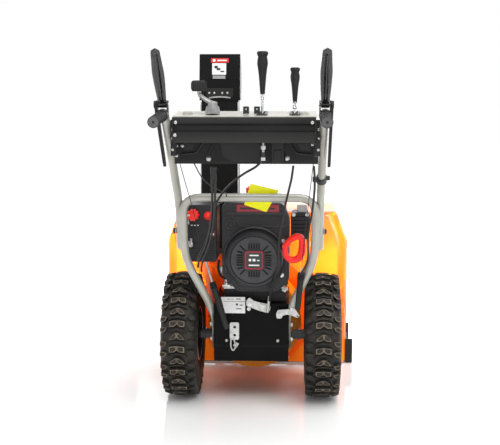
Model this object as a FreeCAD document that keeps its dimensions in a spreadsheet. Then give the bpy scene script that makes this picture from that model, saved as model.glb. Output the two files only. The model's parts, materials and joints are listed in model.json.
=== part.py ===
import FreeCAD, Part
import math
import os
import Sketcher
from FreeCAD import Placement, Rotation, Vector

# Two stage snowblower, millimetres.
# +Y is the direction of travel, +X the operator's right, +Z up.
# The origin is on the ground, under the middle of the wheel axle.

SIZES = {
    # running gear
    "axle_height": 188, "wheel_radius": 188, "wheel_track_half": 210, "tyre_half_width": 53,
    "rim_radius": 80, "axle_radius": 9.5, "axle_half_length": 268, "hub_radius": 16,
    "axle_sprocket_radius": 42, "hex_sprocket_radius": 20, "sprocket_x": -84,
    # transmission case
    "case_half_width": 109, "case_floor": 135, "case_roof": 307, "case_rear": -110,
    "case_front": 130, "case_wall": 3, "bulkhead_y": 52, "case_fold": 178,
    # friction drive
    "disc_height": 245, "disc_radius": 45, "disc_face": 9, "hex_y": -30, "hex_height": 262,
    "friction_radius": 38, "traction_pulley_radius": 40,
    # impeller and its drum
    "impeller_height": 192, "drum_radius": 148, "drum_rear": 130, "drum_wall": 3,
    "impeller_radius": 139, "impeller_shaft_radius": 9.5, "auger_pulley_radius": 52,
    # auger housing
    "housing_rear": 300, "housing_front": 660, "housing_half_width": 303, "housing_back_half": 262,
    "housing_corner": 42, "housing_shoulder": 430, "housing_top": 525, "housing_top_front": 565,
    "housing_floor": 8, "back_floor": 22, "sheet": 2.5,
    # auger
    "auger_y": 465, "auger_height": 152, "auger_radius": 143, "auger_inner": 104,
    "auger_shaft_radius": 12, "flight_start": 52, "flight_end": 272, "flight_thickness": 4,
    "worm_wheel_radius": 27, "worm_radius": 12,
    # skid shoes and scraper
    "shoe_rear": 330, "shoe_length": 230, "shoe_height": 86, "shoe_width": 22, "shoe_plate": 5,
    # chute
    "chute_x": -112, "chute_y": 215, "neck_radius": 66, "ring_radius": 84, "neck_top": 430,
    "chute_half_width": 58, "hinge_y": 183, "hinge_height": 900, "deflector_half_width": 64,
    "deflector_top": 1036,
    # engine
    "crank_x": 12, "crank_height": 450, "crank_radius": 10, "shroud_left": -82,
    "shroud_right": 111, "shroud_base": 350, "shroud_top": 606, "shroud_rear": -150,
    "shroud_front": -88, "recoil_radius": 82, "recoil_face": -200, "drive_pulley_radius": 20,
    "engine_pulley_radius": 24,
    # handles
    "hoop_radius": 11.5, "hoop_half_width": 182, "hoop_top": 630, "upper_half_width": 195,
    "upper_radius": 11, "tube_wall": 1.5, "grip_radius": 15, "grip_end": -660,
    # control levers
    "lever_pivot_y": -508, "lever_pivot_z": 884,
    # dash
    "dash_rear": -463, "dash_front": -340, "dash_half_width": 178, "dash_top": 855,
    "crank_hub_x": -82, "crank_hub_y": -420, "speed_x": 42, "deflector_lever_x": 123,
    "lever_row_y": -405, "lever_row_z": 812,
    # control cables
    "cable_radius": 3,
}

RUNNING_CLEARANCE = 0.05
GAP = 0.4
LEVER_LEAN = 42
FLIGHT_TURNS = 0.75

doc = FreeCAD.newDocument("two_stage_snowblower")
sheet = doc.addObject("Spreadsheet::Sheet", "dims")
for row, (alias, value) in enumerate(SIZES.items(), start=1):
    sheet.set("A%d" % row, alias)
    sheet.set("B%d" % row, str(value))
    sheet.setAlias("B%d" % row, alias)
doc.recompute()

SUBPARTS = []


# ---------------------------------------------------------------- helpers

def words(expression):
    """An expression with each spreadsheet alias written out in full."""
    text = str(expression)
    for alias in sorted(SIZES, key=len, reverse=True):
        text = text.replace("#" + alias, "dims." + alias)
    return text


def value_of(expression):
    """The present value of an expression, in millimetres."""
    return float(sheet.evalExpression(words(expression)))


def keep(obj, name):
    """Register an object as the sub-part of that name."""
    obj.Label = name
    SUBPARTS.append(obj)
    return obj


def bind(obj, prop, expression):
    obj.setExpression(prop, words(expression))


def place(obj, x=0, y=0, z=0, axis="Z"):
    """Put an object's local Z axis along a row axis, at a bound position."""
    turns = {"Z": Rotation(), "X": Rotation(Vector(0, 1, 0), 90), "Y": Rotation(Vector(1, 0, 0), -90)}
    obj.Placement = Placement(Vector(), turns[axis])
    for prop, expression in (("x", x), ("y", y), ("z", z)):
        bind(obj, "Placement.Base." + prop, expression)
    return obj


# sketch outlines: each returns a function that draws into a sketch

def polygon(*points):
    def draw(sketch):
        first = sketch.GeometryCount
        values = [(value_of(x), value_of(y)) for x, y in points]
        for here, there in zip(values, values[1:] + values[:1]):
            sketch.addGeometry(Part.LineSegment(Vector(*here, 0), Vector(*there, 0)))
        for index, ((x, y), (x_value, y_value)) in enumerate(zip(points, values)):
            line, following = first + index, first + (index + 1) % len(points)
            sketch.addConstraint(Sketcher.Constraint("Coincident", line, 2, following, 1))
            for kind, expression, value in (("DistanceX", x, x_value), ("DistanceY", y, y_value)):
                number = sketch.addConstraint(Sketcher.Constraint(kind, -1, 1, line, 1, value))
                bind(sketch, "Constraints[%d]" % number, expression)
    return draw


def rectangle(x_low, y_low, x_high, y_high):
    return polygon((x_low, y_low), (x_high, y_low), (x_high, y_high), (x_low, y_high))


def circle(x, y, radius):
    def draw(sketch):
        centre = Vector(value_of(x), value_of(y), 0)
        index = sketch.addGeometry(Part.Circle(centre, Vector(0, 0, 1), value_of(radius)))
        rules = (("DistanceX", x, centre.x), ("DistanceY", y, centre.y))
        for kind, expression, value in rules:
            number = sketch.addConstraint(Sketcher.Constraint(kind, -1, 1, index, 3, value))
            bind(sketch, "Constraints[%d]" % number, expression)
        number = sketch.addConstraint(Sketcher.Constraint("Radius", index, value_of(radius)))
        bind(sketch, "Constraints[%d]" % number, radius)
    return draw


def several(*drawings):
    def draw(sketch):
        for drawing in drawings:
            drawing(sketch)
    return draw


def sketch_in(body, plane, at, drawing):
    """A sketch on one of the body's origin planes, moved along the plane's row axis to `at`."""
    sketch = body.newObject("Sketcher::SketchObject", body.Name + "_outline")
    origin_plane = next(f for f in body.Origin.OriginFeatures if f.Role == plane + "_Plane")
    sketch.AttachmentSupport = [(origin_plane, "")]
    sketch.MapMode = "FlatFace"
    sign = "-" if plane == "XZ" else ""
    bind(sketch, "AttachmentOffset.Base.z", "%s(%s)" % (sign, at))
    drawing(sketch)
    return sketch


def new_body(name):
    return keep(doc.addObject("PartDesign::Body", name), name)


def helper_body(name):
    return doc.addObject("PartDesign::Body", name)


def pad(body, plane, start, length, drawing):
    """Add material from `start` in the positive direction of the plane's row axis."""
    feature = body.newObject("PartDesign::Pad", body.Name + "_pad")
    feature.Profile = sketch_in(body, plane, start, drawing)
    feature.Reversed = plane == "XZ"
    bind(feature, "Length", length)
    doc.recompute()
    return feature


def pocket(body, plane, start, length, drawing):
    """Remove material from `start` in the positive direction of the plane's row axis."""
    before = body.Shape.Volume
    feature = body.newObject("PartDesign::Pocket", body.Name + "_pocket")
    feature.Profile = sketch_in(body, plane, start, drawing)
    feature.Reversed = plane != "XZ"
    bind(feature, "Length", length)
    doc.recompute()
    if not body.Shape.Volume < before - 1e-6:
        raise RuntimeError(body.Label + ": a pocket removed nothing")
    return feature


def revolve(body, plane, at, drawing, about="H_Axis"):
    """Turn an outline a full turn about its sketch's horizontal or vertical axis."""
    sketch = sketch_in(body, plane, at, drawing)
    feature = body.newObject("PartDesign::Revolution", body.Name + "_turned")
    feature.Profile = sketch
    feature.ReferenceAxis = (sketch, [about])
    feature.Angle = 360
    doc.recompute()
    return feature


def round_edges(body, radius, direction, choose=lambda edge: True):
    """Fillet the straight edges along a row axis that `choose` accepts."""
    axis = {"X": Vector(1, 0, 0), "Y": Vector(0, 1, 0), "Z": Vector(0, 0, 1)}[direction]
    names = []
    for number, edge in enumerate(body.Tip.Shape.Edges, start=1):
        if not isinstance(edge.Curve, Part.Line) or not choose(edge):
            continue
        if abs(abs(edge.Curve.Direction.dot(axis)) - 1) < 1e-6:
            names.append("Edge%d" % number)
    base = body.Tip
    fillet = body.newObject("PartDesign::Fillet", body.Name + "_fillet")
    fillet.Base = (base, names)
    bind(fillet, "Radius", radius)
    doc.recompute()
    return fillet


def polar(body, feature, count, axis):
    """Repeat a feature round an axis of its body's origin."""
    pattern = body.newObject("PartDesign::PolarPattern", body.Name + "_pattern")
    pattern.Originals = [feature]
    origin_axis = next(f for f in body.Origin.OriginFeatures if f.Role == axis + "_Axis")
    pattern.Axis = (origin_axis, [""])
    pattern.Angle = 360
    pattern.Occurrences = count
    body.Tip = pattern
    doc.recompute()
    return pattern


def rod(name, axis, x, y, z, radius, length):
    """A cylinder that starts at a point and runs in the positive direction of an axis."""
    obj = doc.addObject("Part::Cylinder", name)
    bind(obj, "Radius", radius)
    bind(obj, "Height", length)
    return place(obj, x, y, z, axis)


def cone(name, axis, x, y, z, radius_near, radius_far, length):
    obj = doc.addObject("Part::Cone", name)
    bind(obj, "Radius1", radius_near)
    bind(obj, "Radius2", radius_far)
    bind(obj, "Height", length)
    return place(obj, x, y, z, axis)


def block(name, low, high):
    """A box between two corners."""
    obj = doc.addObject("Part::Box", name)
    for prop, small, large in zip(("Length", "Width", "Height"), low, high):
        bind(obj, prop, "(%s) - (%s)" % (large, small))
    return place(obj, *low)


def fused(name, *pieces):
    obj = doc.addObject("Part::MultiFuse", name)
    obj.Shapes = list(pieces)
    obj.Refine = True
    doc.recompute()
    return obj


def minus(name, base, *tools):
    """The base with every tool cut away."""
    tool = tools[0] if len(tools) == 1 else fused(name + "_tools", *tools)
    obj = doc.addObject("Part::Cut", name)
    obj.Base = base
    obj.Tool = tool
    doc.recompute()
    return obj


def group(name, pieces):
    """Separate solids kept together as one sub-part."""
    obj = doc.addObject("Part::Compound", name)
    obj.Links = list(pieces)
    doc.recompute()
    return keep(obj, name)


def washer_shape(name, axis, x, y, z, outer, inner, length):
    """A ring: a cylinder with a hole of its full length."""
    return minus(name, rod(name + "_outer", axis, x, y, z, outer, length),
                 rod(name + "_bore", axis, x, y, z, inner, length))


# tubes along a route of straight runs joined by tangent arcs

def rounded_route(points, radii):
    """A wire through the points, each inner corner rounded to its own radius."""
    edges = []
    here = points[0]
    for index in range(1, len(points) - 1):
        corner = points[index]
        back = (points[index - 1] - corner).normalize()
        ahead = (points[index + 1] - corner).normalize()
        half = back.getAngle(ahead) / 2
        cut = radii[index - 1] / math.tan(half)
        start, end = corner + back * cut, corner + ahead * cut
        middle_line = (back + ahead).normalize()
        reach = radii[index - 1] / math.sin(half) - radii[index - 1]
        edges.append(Part.LineSegment(here, start).toShape())
        edges.append(Part.Arc(start, corner + middle_line * reach, end).toShape())
        here = end
    edges.append(Part.LineSegment(here, points[-1]).toShape())
    return Part.Wire(edges)


def easy_radii(points):
    """The largest radii that the runs allow: 0.45 of the shorter run over tan of half the turn."""
    radii = []
    for before, corner, after in zip(points, points[1:], points[2:]):
        turn = (corner - before).getAngle(after - corner)
        shorter = min((corner - before).Length, (after - corner).Length)
        radii.append(0.45 * shorter / math.tan(turn / 2))
    return radii


def swept(wire, radius):
    first = wire.Edges[0]
    start = first.valueAt(first.FirstParameter)
    direction = first.tangentAt(first.FirstParameter)
    ring = Part.Wire([Part.Circle(start, direction, radius).toShape()])
    solid = wire.makePipeShell([ring], True, False)
    expected = math.pi * radius ** 2 * wire.Length
    if abs(solid.Volume / expected - 1) > 0.02:
        raise RuntimeError("a tube's volume differs from its section times its length")
    return solid


def tube_shape(points, radii, radius, wall=0):
    """A round bar, or a tube when it has a wall."""
    wire = rounded_route([Vector(*p) for p in points], radii)
    solid = swept(wire, radius)
    return solid.cut(swept(wire, radius - wall)) if wall else solid


def shape_feature(name, shape, placement=Placement()):
    """A shape made with Part's own functions, as an object of the document."""
    obj = doc.addObject("Part::Feature", name)
    obj.Shape = shape
    obj.Placement = placement
    return obj


SIDES = (("left", -1), ("right", 1))


# ---------------------------------------------------------------- auger housing

def housing_solid(name, inset):
    """The housing's filled outer form, or with an inset the form of its inside."""
    skin = "#sheet * %d" % inset
    half = "(#housing_half_width - #sheet - (%s))" % skin
    back_half = "(#housing_back_half - (%s))" % skin
    top = "(#housing_top - (%s))" % skin
    shoulder = "(#housing_shoulder - (%s) / 2)" % skin
    floor = "#back_floor - %d" % (40 * inset)
    rear = "#housing_rear + %s" % skin
    body = helper_body(name)
    pad(body, "XZ", rear, "#housing_front - #housing_rear",
        polygon(("-" + half, floor), ("-" + half, shoulder), ("-" + back_half, top),
                (back_half, top), (half, shoulder), (half, floor)))
    for sign in "-+":
        inner, outer = sign + back_half, sign + "(" + half + " + 1)"
        corner = "#housing_rear + %s + #housing_corner" % skin
        pocket(body, "XY", "-100", "800",
               polygon((inner, "#housing_rear - 1"), (outer, "#housing_rear - 1"), (outer, corner),
                       (sign + half, corner), (inner, rear)))
    return body


def auger_housing():
    outer = housing_solid("housing_outer", 0)
    pocket(outer, "YZ", "-400", "800",
           polygon(("#housing_top_front", "#housing_top + 1"), ("600", "#housing_shoulder"),
                   ("600", "0"), ("700", "0"), ("700", "#housing_top + 1")))
    inner = housing_solid("housing_inner", 1)
    mouth = rod("housing_mouth", "Y", 0, "#housing_rear - 1", "#impeller_height",
                "#drum_radius - #drum_wall", "#sheet + 2")
    side_gaps = [block("housing_side_gap_" + side, (low, "#housing_rear + #housing_corner", "0"),
                       (high, "#housing_front", "#housing_shoulder - #sheet"))
                 for side, low, high in (("left", "-400", "-#housing_half_width + 2 * #sheet + 1"),
                                         ("right", "#housing_half_width - 2 * #sheet - 1", "400"))]
    keep(minus("auger_housing", outer, inner, mouth, *side_gaps), "auger_housing")


def side_plates():
    for side, sign in SIDES:
        body = new_body("side_plate_" + side)
        start = "-#housing_half_width" if sign < 0 else "#housing_half_width - #sheet"
        rear = "#housing_rear + #housing_corner"
        pad(body, "YZ", start, "#sheet",
            polygon((rear, "#housing_floor"), ("635", "#housing_floor"), ("#housing_front", "50"),
                    ("#housing_front", "340"), ("600", "#housing_shoulder"),
                    (rear, "#housing_shoulder")))
        pocket(body, "YZ", start, "#sheet",
               several(circle("#auger_y", "#auger_height", "#auger_shaft_radius + 2"),
                       circle("642", "120", "4.5"), circle("642", "260", "4.5")))


def scraper_bar():
    body = new_body("scraper_bar")
    rear = "#housing_rear + #sheet"
    pad(body, "YZ", "-#housing_back_half + 4", "2 * #housing_back_half - 8",
        polygon((rear, "4"), (rear + " + 5", "4"), (rear + " + 5", "46"), (rear, "46")))


def skid_shoes():
    shoes = []
    for side, sign in SIDES:
        body = helper_body("skid_shoe_" + side)
        end = "#shoe_rear + #shoe_length"
        runner = "#housing_half_width" if sign > 0 else "-#housing_half_width - #shoe_width"
        plate = "#housing_half_width" if sign > 0 else "-#housing_half_width - #shoe_plate"
        pad(body, "YZ", runner, "#shoe_width",
            polygon(("#shoe_rear", "#shoe_height"), ("#shoe_rear", "26"), ("#shoe_rear + 26", "0"),
                    (end + " - 26", "0"), (end, "26"), (end, "#shoe_height"),
                    (end + " - #shoe_plate", "#shoe_height"), (end + " - #shoe_plate", "28"),
                    (end + " - 28", "#shoe_plate"), ("#shoe_rear + 28", "#shoe_plate"),
                    ("#shoe_rear + #shoe_plate", "28"),
                    ("#shoe_rear + #shoe_plate", "#shoe_height")))
        pad(body, "YZ", plate, "#shoe_plate",
            rectangle("#shoe_rear + 2", "28", end + " - 2", "#shoe_height"))
        shoes.append(body)
    group("skid_shoes", shoes)


# ---------------------------------------------------------------- impeller drum

def oblique_neck(name, wall):
    """The leaning outlet that carries snow from the drum up to the chute ring."""
    radii = ("#neck_radius - 6 - %s" % wall, "#neck_radius - %s" % wall)
    circles = []
    for tag, x, z, radius in (("low", "#chute_x + 26", "#impeller_height + 8", radii[0]),
                              ("high", "#chute_x", "#neck_top - 30", radii[1])):
        ring = doc.addObject("Part::Circle", name + "_" + tag)
        bind(ring, "Radius", radius)
        place(ring, x, "#chute_y", z)
        circles.append(ring)
    loft = doc.addObject("Part::Loft", name)
    loft.Sections = circles
    loft.Solid = True
    doc.recompute()
    top = rod(name + "_top", "Z", "#chute_x", "#chute_y", "#neck_top - 30", radii[1], "30 + %s" % wall)
    return fused(name + "_whole", loft, top)


def impeller_drum():
    depth = "#housing_rear - #drum_rear"
    outer = fused("drum_outer",
                  rod("drum_shell", "Y", 0, "#drum_rear", "#impeller_height", "#drum_radius", depth),
                  oblique_neck("neck_outer", "0"))
    inner = fused("drum_inner",
                  rod("drum_cavity", "Y", 0, "#drum_rear + #drum_wall", "#impeller_height",
                      "#drum_radius - #drum_wall", depth),
                  oblique_neck("neck_inner", "3"))
    bore = rod("drum_bore", "Y", 0, "#drum_rear - 1", "#impeller_height",
               "#impeller_shaft_radius + 3", "#drum_wall + 2")
    keep(minus("impeller_drum", outer, inner, bore), "impeller_drum")


def impeller_group():
    body = new_body("impeller")
    place(body, 0, 0, "#impeller_height")
    pad(body, "XZ", "#drum_rear + 20", "125", circle(0, 0, 20))
    blade = pad(body, "XZ", "#drum_rear + 18", "138", rectangle(-2.5, 16, 2.5, "#impeller_radius"))
    polar(body, blade, 4, "Y")
    pocket(body, "XZ", "#drum_rear", "200", circle(0, 0, "#impeller_shaft_radius"))

    rear = "#case_front - 54"
    shaft = rod("worm_shaft_bar", "Y", 0, rear, "#impeller_height", "#impeller_shaft_radius",
                "#auger_y + 30 - (%s)" % rear)
    worm = rod("worm_thread", "Y", 0, "#auger_y - 22", "#impeller_height", "#worm_radius", 44)
    keep(fused("impeller_shaft", shaft, worm), "impeller_shaft")

    pulley = new_body("auger_pulley")
    place(pulley, 0, 0, "#impeller_height")
    grooved_pulley(pulley, "#case_front - 50", "#auger_pulley_radius", "#impeller_shaft_radius", 16)


def grooved_pulley(body, start, radius, bore, width):
    """A V pulley turned about its body's Y axis, from `start` over its width."""
    near, far = "(%s)" % start, "(%s + %s)" % (start, width)
    half = "(%s + %s / 2)" % (start, width)
    revolve(body, "YZ", 0,
            polygon((near, bore), (near, radius), (near + " + 2", radius),
                    (half + " - 3", "%s - 9" % radius), (half + " + 3", "%s - 9" % radius),
                    (far + " - 2", radius), (far, radius), (far, bore)))


# ---------------------------------------------------------------- auger

def auger_gearbox():
    wheel_case = rod("gearbox_wheel_case", "X", -27, "#auger_y", "#auger_height", 38, 54)
    worm_case = rod("gearbox_worm_case", "Y", 0, "#auger_y - 60", "#impeller_height", 22, 108)
    snout = cone("gearbox_nose", "Y", 0, "#auger_y + 48", "#impeller_height", 22, 14, 8)
    outer = fused("gearbox_outer", wheel_case, worm_case, snout)
    wheel_room = rod("gearbox_wheel_room", "X", -22, "#auger_y", "#auger_height", 32, 44)
    worm_room = rod("gearbox_worm_room", "Y", 0, "#auger_y - 52", "#impeller_height", 16, 96)
    shaft_bore = rod("gearbox_shaft_bore", "X", -28, "#auger_y", "#auger_height",
                     "#auger_shaft_radius + %s" % RUNNING_CLEARANCE, 56)
    worm_bore = rod("gearbox_worm_bore", "Y", 0, "#auger_y - 61", "#impeller_height",
                    "#impeller_shaft_radius + %s" % RUNNING_CLEARANCE, 12)
    keep(minus("auger_gearbox", outer, wheel_room, worm_room, shaft_bore, worm_bore),
         "auger_gearbox")


def ribbon(side, sign, phase):
    """One helical ribbon of the auger, wound so that it carries snow to the middle."""
    start, end = value_of("#flight_start"), value_of("#flight_end")
    inner, outer = value_of("#auger_inner"), value_of("#auger_radius")
    thickness = value_of("#flight_thickness")
    steps = 18
    sections = []
    for step in range(steps + 1):
        share = step / steps
        angle = phase + sign * FLIGHT_TURNS * 2 * math.pi * share
        along = start + (end - thickness - start) * share
        corners = []
        for radius, offset in ((inner, 0), (outer, 0), (outer, thickness), (inner, thickness)):
            corners.append(Vector(sign * (along + offset), radius * math.cos(angle),
                                  radius * math.sin(angle)))
        sections.append(Part.makePolygon(corners + corners[:1]))
    return Part.makeLoft(sections, True, True)


def auger_flights():
    centre = Vector(0, value_of("#auger_y"), value_of("#auger_height"))
    for side, sign in SIDES:
        first = ribbon(side, sign, 0)
        second = ribbon(side, sign, math.pi)
        spokes = []
        for share in (0.12, 0.5, 0.88):
            along = value_of("#flight_start + (#flight_end - #flight_start) * %s" % share)
            angle = sign * FLIGHT_TURNS * 360 * share
            bar = Part.makeBox(4, 18, 2 * value_of("#auger_inner") + 8,
                               Vector(-2, -9, -value_of("#auger_inner") - 4))
            bar.rotate(Vector(), Vector(1, 0, 0), angle - 90)
            bar.translate(Vector(sign * along, 0, 0))
            spokes.append(bar)
        sleeve_start = value_of("#flight_start - 8")
        sleeve_length = value_of("#flight_end - #flight_start + 8")
        begin = sleeve_start if sign > 0 else -sleeve_start - sleeve_length
        sleeve = Part.makeCylinder(17, sleeve_length, Vector(begin, 0, 0), Vector(1, 0, 0))
        flight = sleeve.fuse([first, second] + spokes)
        hole = Part.makeCylinder(value_of("#auger_shaft_radius"), 800, Vector(-400, 0, 0),
                                 Vector(1, 0, 0))
        name = "auger_flight_" + side
        keep(shape_feature(name, flight.cut(hole), Placement(centre, Rotation())), name)


def auger_shaft():
    half = "#housing_half_width + 8"
    bar = rod("auger_shaft", "X", "-(%s)" % half, "#auger_y", "#auger_height",
              "#auger_shaft_radius", "2 * (%s)" % half)
    keep(bar, "auger_shaft")
    wheel = new_body("worm_wheel")
    place(wheel, 0, "#auger_y", "#auger_height")
    pad(wheel, "YZ", -9, 18, several(circle(0, 0, "#worm_wheel_radius"),
                                     circle(0, 0, "#auger_shaft_radius")))


# ---------------------------------------------------------------- chute

def chute_ring():
    ring = minus("chute_ring",
                 rod("chute_ring_outer", "Z", "#chute_x", "#chute_y", "#neck_top - 18", "#ring_radius", 14),
                 rod("chute_ring_bore", "Z", "#chute_x", "#chute_y", "#neck_top - 19", "#neck_radius", 16))
    keep(ring, "chute_ring")


def chute():
    body = new_body("chute")
    place(body, "#chute_x", "#chute_y", "#neck_top")
    half = "#chute_half_width"
    back = (("-56", "8"), ("-56", "190"), ("-50", "330"), ("#hinge_y - #chute_y - 2", "462"))
    pad(body, "YZ", "-" + half, "2 * " + half,
        polygon(*back, ("40", "462"), ("54", "300"), ("54", "8")))
    inner_back = [("%s + 2.5" % y, z) for y, z in back]
    inner_back[0] = (inner_back[0][0], "-1")
    inner_back[-1] = (inner_back[-1][0], "470")
    pocket(body, "YZ", "-%s + 2.5" % half, "2 * %s - 5" % half,
           polygon(*inner_back, ("90", "470"), ("90", "150"), ("51.5", "150"), ("51.5", "-1")))
    pad(body, "XY", GAP, 10, several(circle(0, 0, "#ring_radius"), circle(0, 0, 51)))


def deflector():
    body = new_body("deflector")
    place(body, "#chute_x", "#hinge_y", "#hinge_height")
    half = "#deflector_half_width"
    top = "#deflector_top - #hinge_height"
    pad(body, "YZ", "-" + half, "2 * " + half,
        polygon(("-5", "-8"), ("-5", "60"), ("8", top), ("62", top + " - 20"), ("78", "40"),
                ("60", "-8")))
    pocket(body, "YZ", "-%s + 2.5" % half, "2 * %s - 5" % half,
           polygon(("-2.5", "-20"), ("-2.5", "60"), ("21.5", "200"), ("120", "200"), ("120", "-20")))
    for pin_start in ("-" + half, half + " - 5.5"):
        pad(body, "YZ", pin_start, 5.5, circle(0, 0, 5))


# ---------------------------------------------------------------- transmission case

def transmission_case():
    body = new_body("transmission_case")
    half, wall = "#case_half_width", "#case_wall"
    rear, front = "#case_rear", "#case_front"
    pad(body, "XZ", rear, "%s - %s" % (front, rear),
        rectangle("-" + half, "#case_floor", half, "#case_roof"))
    pocket(body, "XZ", rear, "#bulkhead_y - (%s)" % rear,
           rectangle("-%s + %s" % (half, wall), "#case_floor + " + wall,
                     "%s - %s" % (half, wall), "#case_roof - " + wall))
    pocket(body, "XZ", "#bulkhead_y + " + wall, "100",
           rectangle("-%s + %s" % (half, wall), "#case_floor + " + wall,
                     "%s - %s" % (half, wall), "#case_roof + 10"))
    pocket(body, "YZ", "-200", "400",
           several(circle(0, "#axle_height", "#axle_radius + 3"),
                   circle("#hex_y", "#hex_height", "9")))
    pocket(body, "XZ", "#bulkhead_y - 1", 6, circle(0, "#disc_height", "9"))


def transmission_cover():
    body = new_body("transmission_cover")
    rear, half = "#case_rear", "#case_half_width"
    pad(body, "XZ", rear + " - 3", "3 - %s" % GAP, rectangle("-" + half, "#case_fold", half, "#case_roof"))
    pad(body, "YZ", "-" + half, "2 * " + half,
        polygon((rear + " - 3", "#case_fold + 6"), (rear + " - 7", "#case_fold"),
                (rear + " - 3", "#case_floor"), (rear + " - %s" % GAP, "#case_floor"),
                (rear + " - %s" % GAP, "#case_fold + 6")))


def friction_drive():
    disc = new_body("drive_disc")
    place(disc, 0, 0, "#disc_height")
    face = "#disc_face"
    traction = "#case_front - 70"
    revolve(disc, "YZ", 0, polygon((face, 0), (face, "#disc_radius"), (face + " + 7", "#disc_radius"),
                                   (face + " + 12", 16), (face + " + 30", 16), (face + " + 30", 7),
                                   (traction, 7), (traction, "#traction_pulley_radius"),
                                   (traction + " + 2", "#traction_pulley_radius"),
                                   (traction + " + 4.5", "#traction_pulley_radius - 8"),
                                   (traction + " + 9.5", "#traction_pulley_radius - 8"),
                                   (traction + " + 12", "#traction_pulley_radius"),
                                   (traction + " + 14", "#traction_pulley_radius"),
                                   (traction + " + 14", 0)))

    hexagon = doc.addObject("Part::Prism", "hex_bar")
    hexagon.Polygon = 6
    bind(hexagon, "Circumradius", "8")
    bind(hexagon, "Height", "2 * #case_half_width + 10")
    place(hexagon, "-#case_half_width - 5", "#hex_y", "#hex_height", "X")
    sprocket = rod("hex_sprocket", "X", "#sprocket_x", "#hex_y", "#hex_height", "#hex_sprocket_radius", 5)
    keep(fused("hex_shaft", hexagon, sprocket), "hex_shaft")

    disc_rim = rod("friction_rim", "X", -5, "#hex_y", "#hex_height", "#friction_radius", 10)
    collar = rod("friction_collar", "X", -5, "#hex_y", "#hex_height", 17, 24)
    bore = rod("friction_bore", "X", -6, "#hex_y", "#hex_height", "8 + %s" % RUNNING_CLEARANCE, 30)
    keep(minus("friction_wheel", fused("friction_solid", disc_rim, collar), bore), "friction_wheel")


def belt_shape(start, width, thickness, near, far):
    """A closed belt round two pulleys whose axes run along Y."""
    (x_near, z_near, r_near), (x_far, z_far, r_far) = near, far

    def band(grow):
        a = Part.makeCylinder(r_near + grow, width, Vector(x_near, start, z_near), Vector(0, 1, 0))
        b = Part.makeCylinder(r_far + grow, width, Vector(x_far, start, z_far), Vector(0, 1, 0))
        gap = Vector(x_far - x_near, 0, z_far - z_near)
        tilt = math.asin((r_near - r_far) / gap.Length)
        along = gap.normalize()
        corners = []
        for turn in (1, -1):
            side = Rotation(Vector(0, 1, 0), math.degrees(turn * (math.pi / 2 - tilt))).multVec(along)
            corners.append((Vector(x_near, start, z_near) + side * (r_near + grow),
                            Vector(x_far, start, z_far) + side * (r_far + grow)))
        (p1, p2), (p4, p3) = corners
        face = Part.Face(Part.makePolygon([p1, p2, p3, p4, p1]))
        return a.fuse([b, face.extrude(Vector(0, width, 0))])

    return band(thickness).cut(band(0))


def drive_belts():
    crank_x, crank_z = value_of("#crank_x"), value_of("#crank_height")
    front = value_of("#case_front")
    auger_belt = belt_shape(front - 45, 6, 7,
                            (crank_x, crank_z, value_of("#engine_pulley_radius - 9") + GAP),
                            (0, value_of("#impeller_height"),
                             value_of("#auger_pulley_radius - 9") + GAP))
    traction_belt = belt_shape(front - 65, 4, 6,
                               (crank_x, crank_z, value_of("#drive_pulley_radius - 8") + GAP),
                               (0, value_of("#disc_height"),
                                value_of("#traction_pulley_radius - 8") + GAP))
    chain = belt_shape(0, 4, 5,
                       (value_of("#hex_y"), value_of("#hex_height"),
                        value_of("#hex_sprocket_radius") + GAP),
                       (0, value_of("#axle_height"), value_of("#axle_sprocket_radius") + GAP))
    turned = Placement(Vector(value_of("#sprocket_x") + 4.5, 0, 0), Rotation(Vector(0, 0, 1), 90))
    group("belts_and_chain", [shape_feature("auger_belt", auger_belt),
                              shape_feature("traction_belt", traction_belt),
                              shape_feature("axle_chain", chain, turned)])


def bearings():
    rings = []

    def ring(tag, axis, x, y, z, outer, bore, length):
        rings.append(washer_shape("bearing_" + tag, axis, x, y, z, outer,
                                  "%s + %s" % (bore, RUNNING_CLEARANCE), length))

    for side, sign in SIDES:
        plate = "#housing_half_width" if sign > 0 else "-#housing_half_width - 5"
        ring("auger_" + side, "X", plate, "#auger_y", "#auger_height", 26, "#auger_shaft_radius", 5)
        case = "#case_half_width" if sign > 0 else "-#case_half_width - 7"
        ring("axle_" + side, "X", case, 0, "#axle_height", 22, "#axle_radius", 7)
        ring("hex_" + side, "X", case, "#hex_y", "#hex_height", 14, "8", 7)
    ring("impeller", "Y", 0, "#drum_rear - 10", "#impeller_height", 28, "#impeller_shaft_radius", 10)
    ring("traction", "Y", 0, "#bulkhead_y - 6", "#disc_height", 18, "7", 6)
    group("bearings", rings)


def belt_cover():
    body = new_body("belt_cover")
    rear, depth = "#shroud_front + 145", "#drum_rear - #shroud_front - 161"
    pad(body, "XZ", rear, depth,
        polygon(("-84", "#case_roof + 1"), ("-84", "400"), ("-46", "500"), ("70", "500"),
                ("104", "470"), ("104", "#case_roof + 1")))
    round_edges(body, 14, "Y", lambda edge: edge.CenterOfMass.z > 390)
    pocket(body, "XZ", rear + " - 1", depth + " - 2",
           polygon(("-81.5", "#case_roof - 4"), ("-81.5", "399"), ("-44", "497.5"), ("69", "497.5"),
                   ("101.5", "469"), ("101.5", "#case_roof - 4")))


# ---------------------------------------------------------------- wheels

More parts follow.
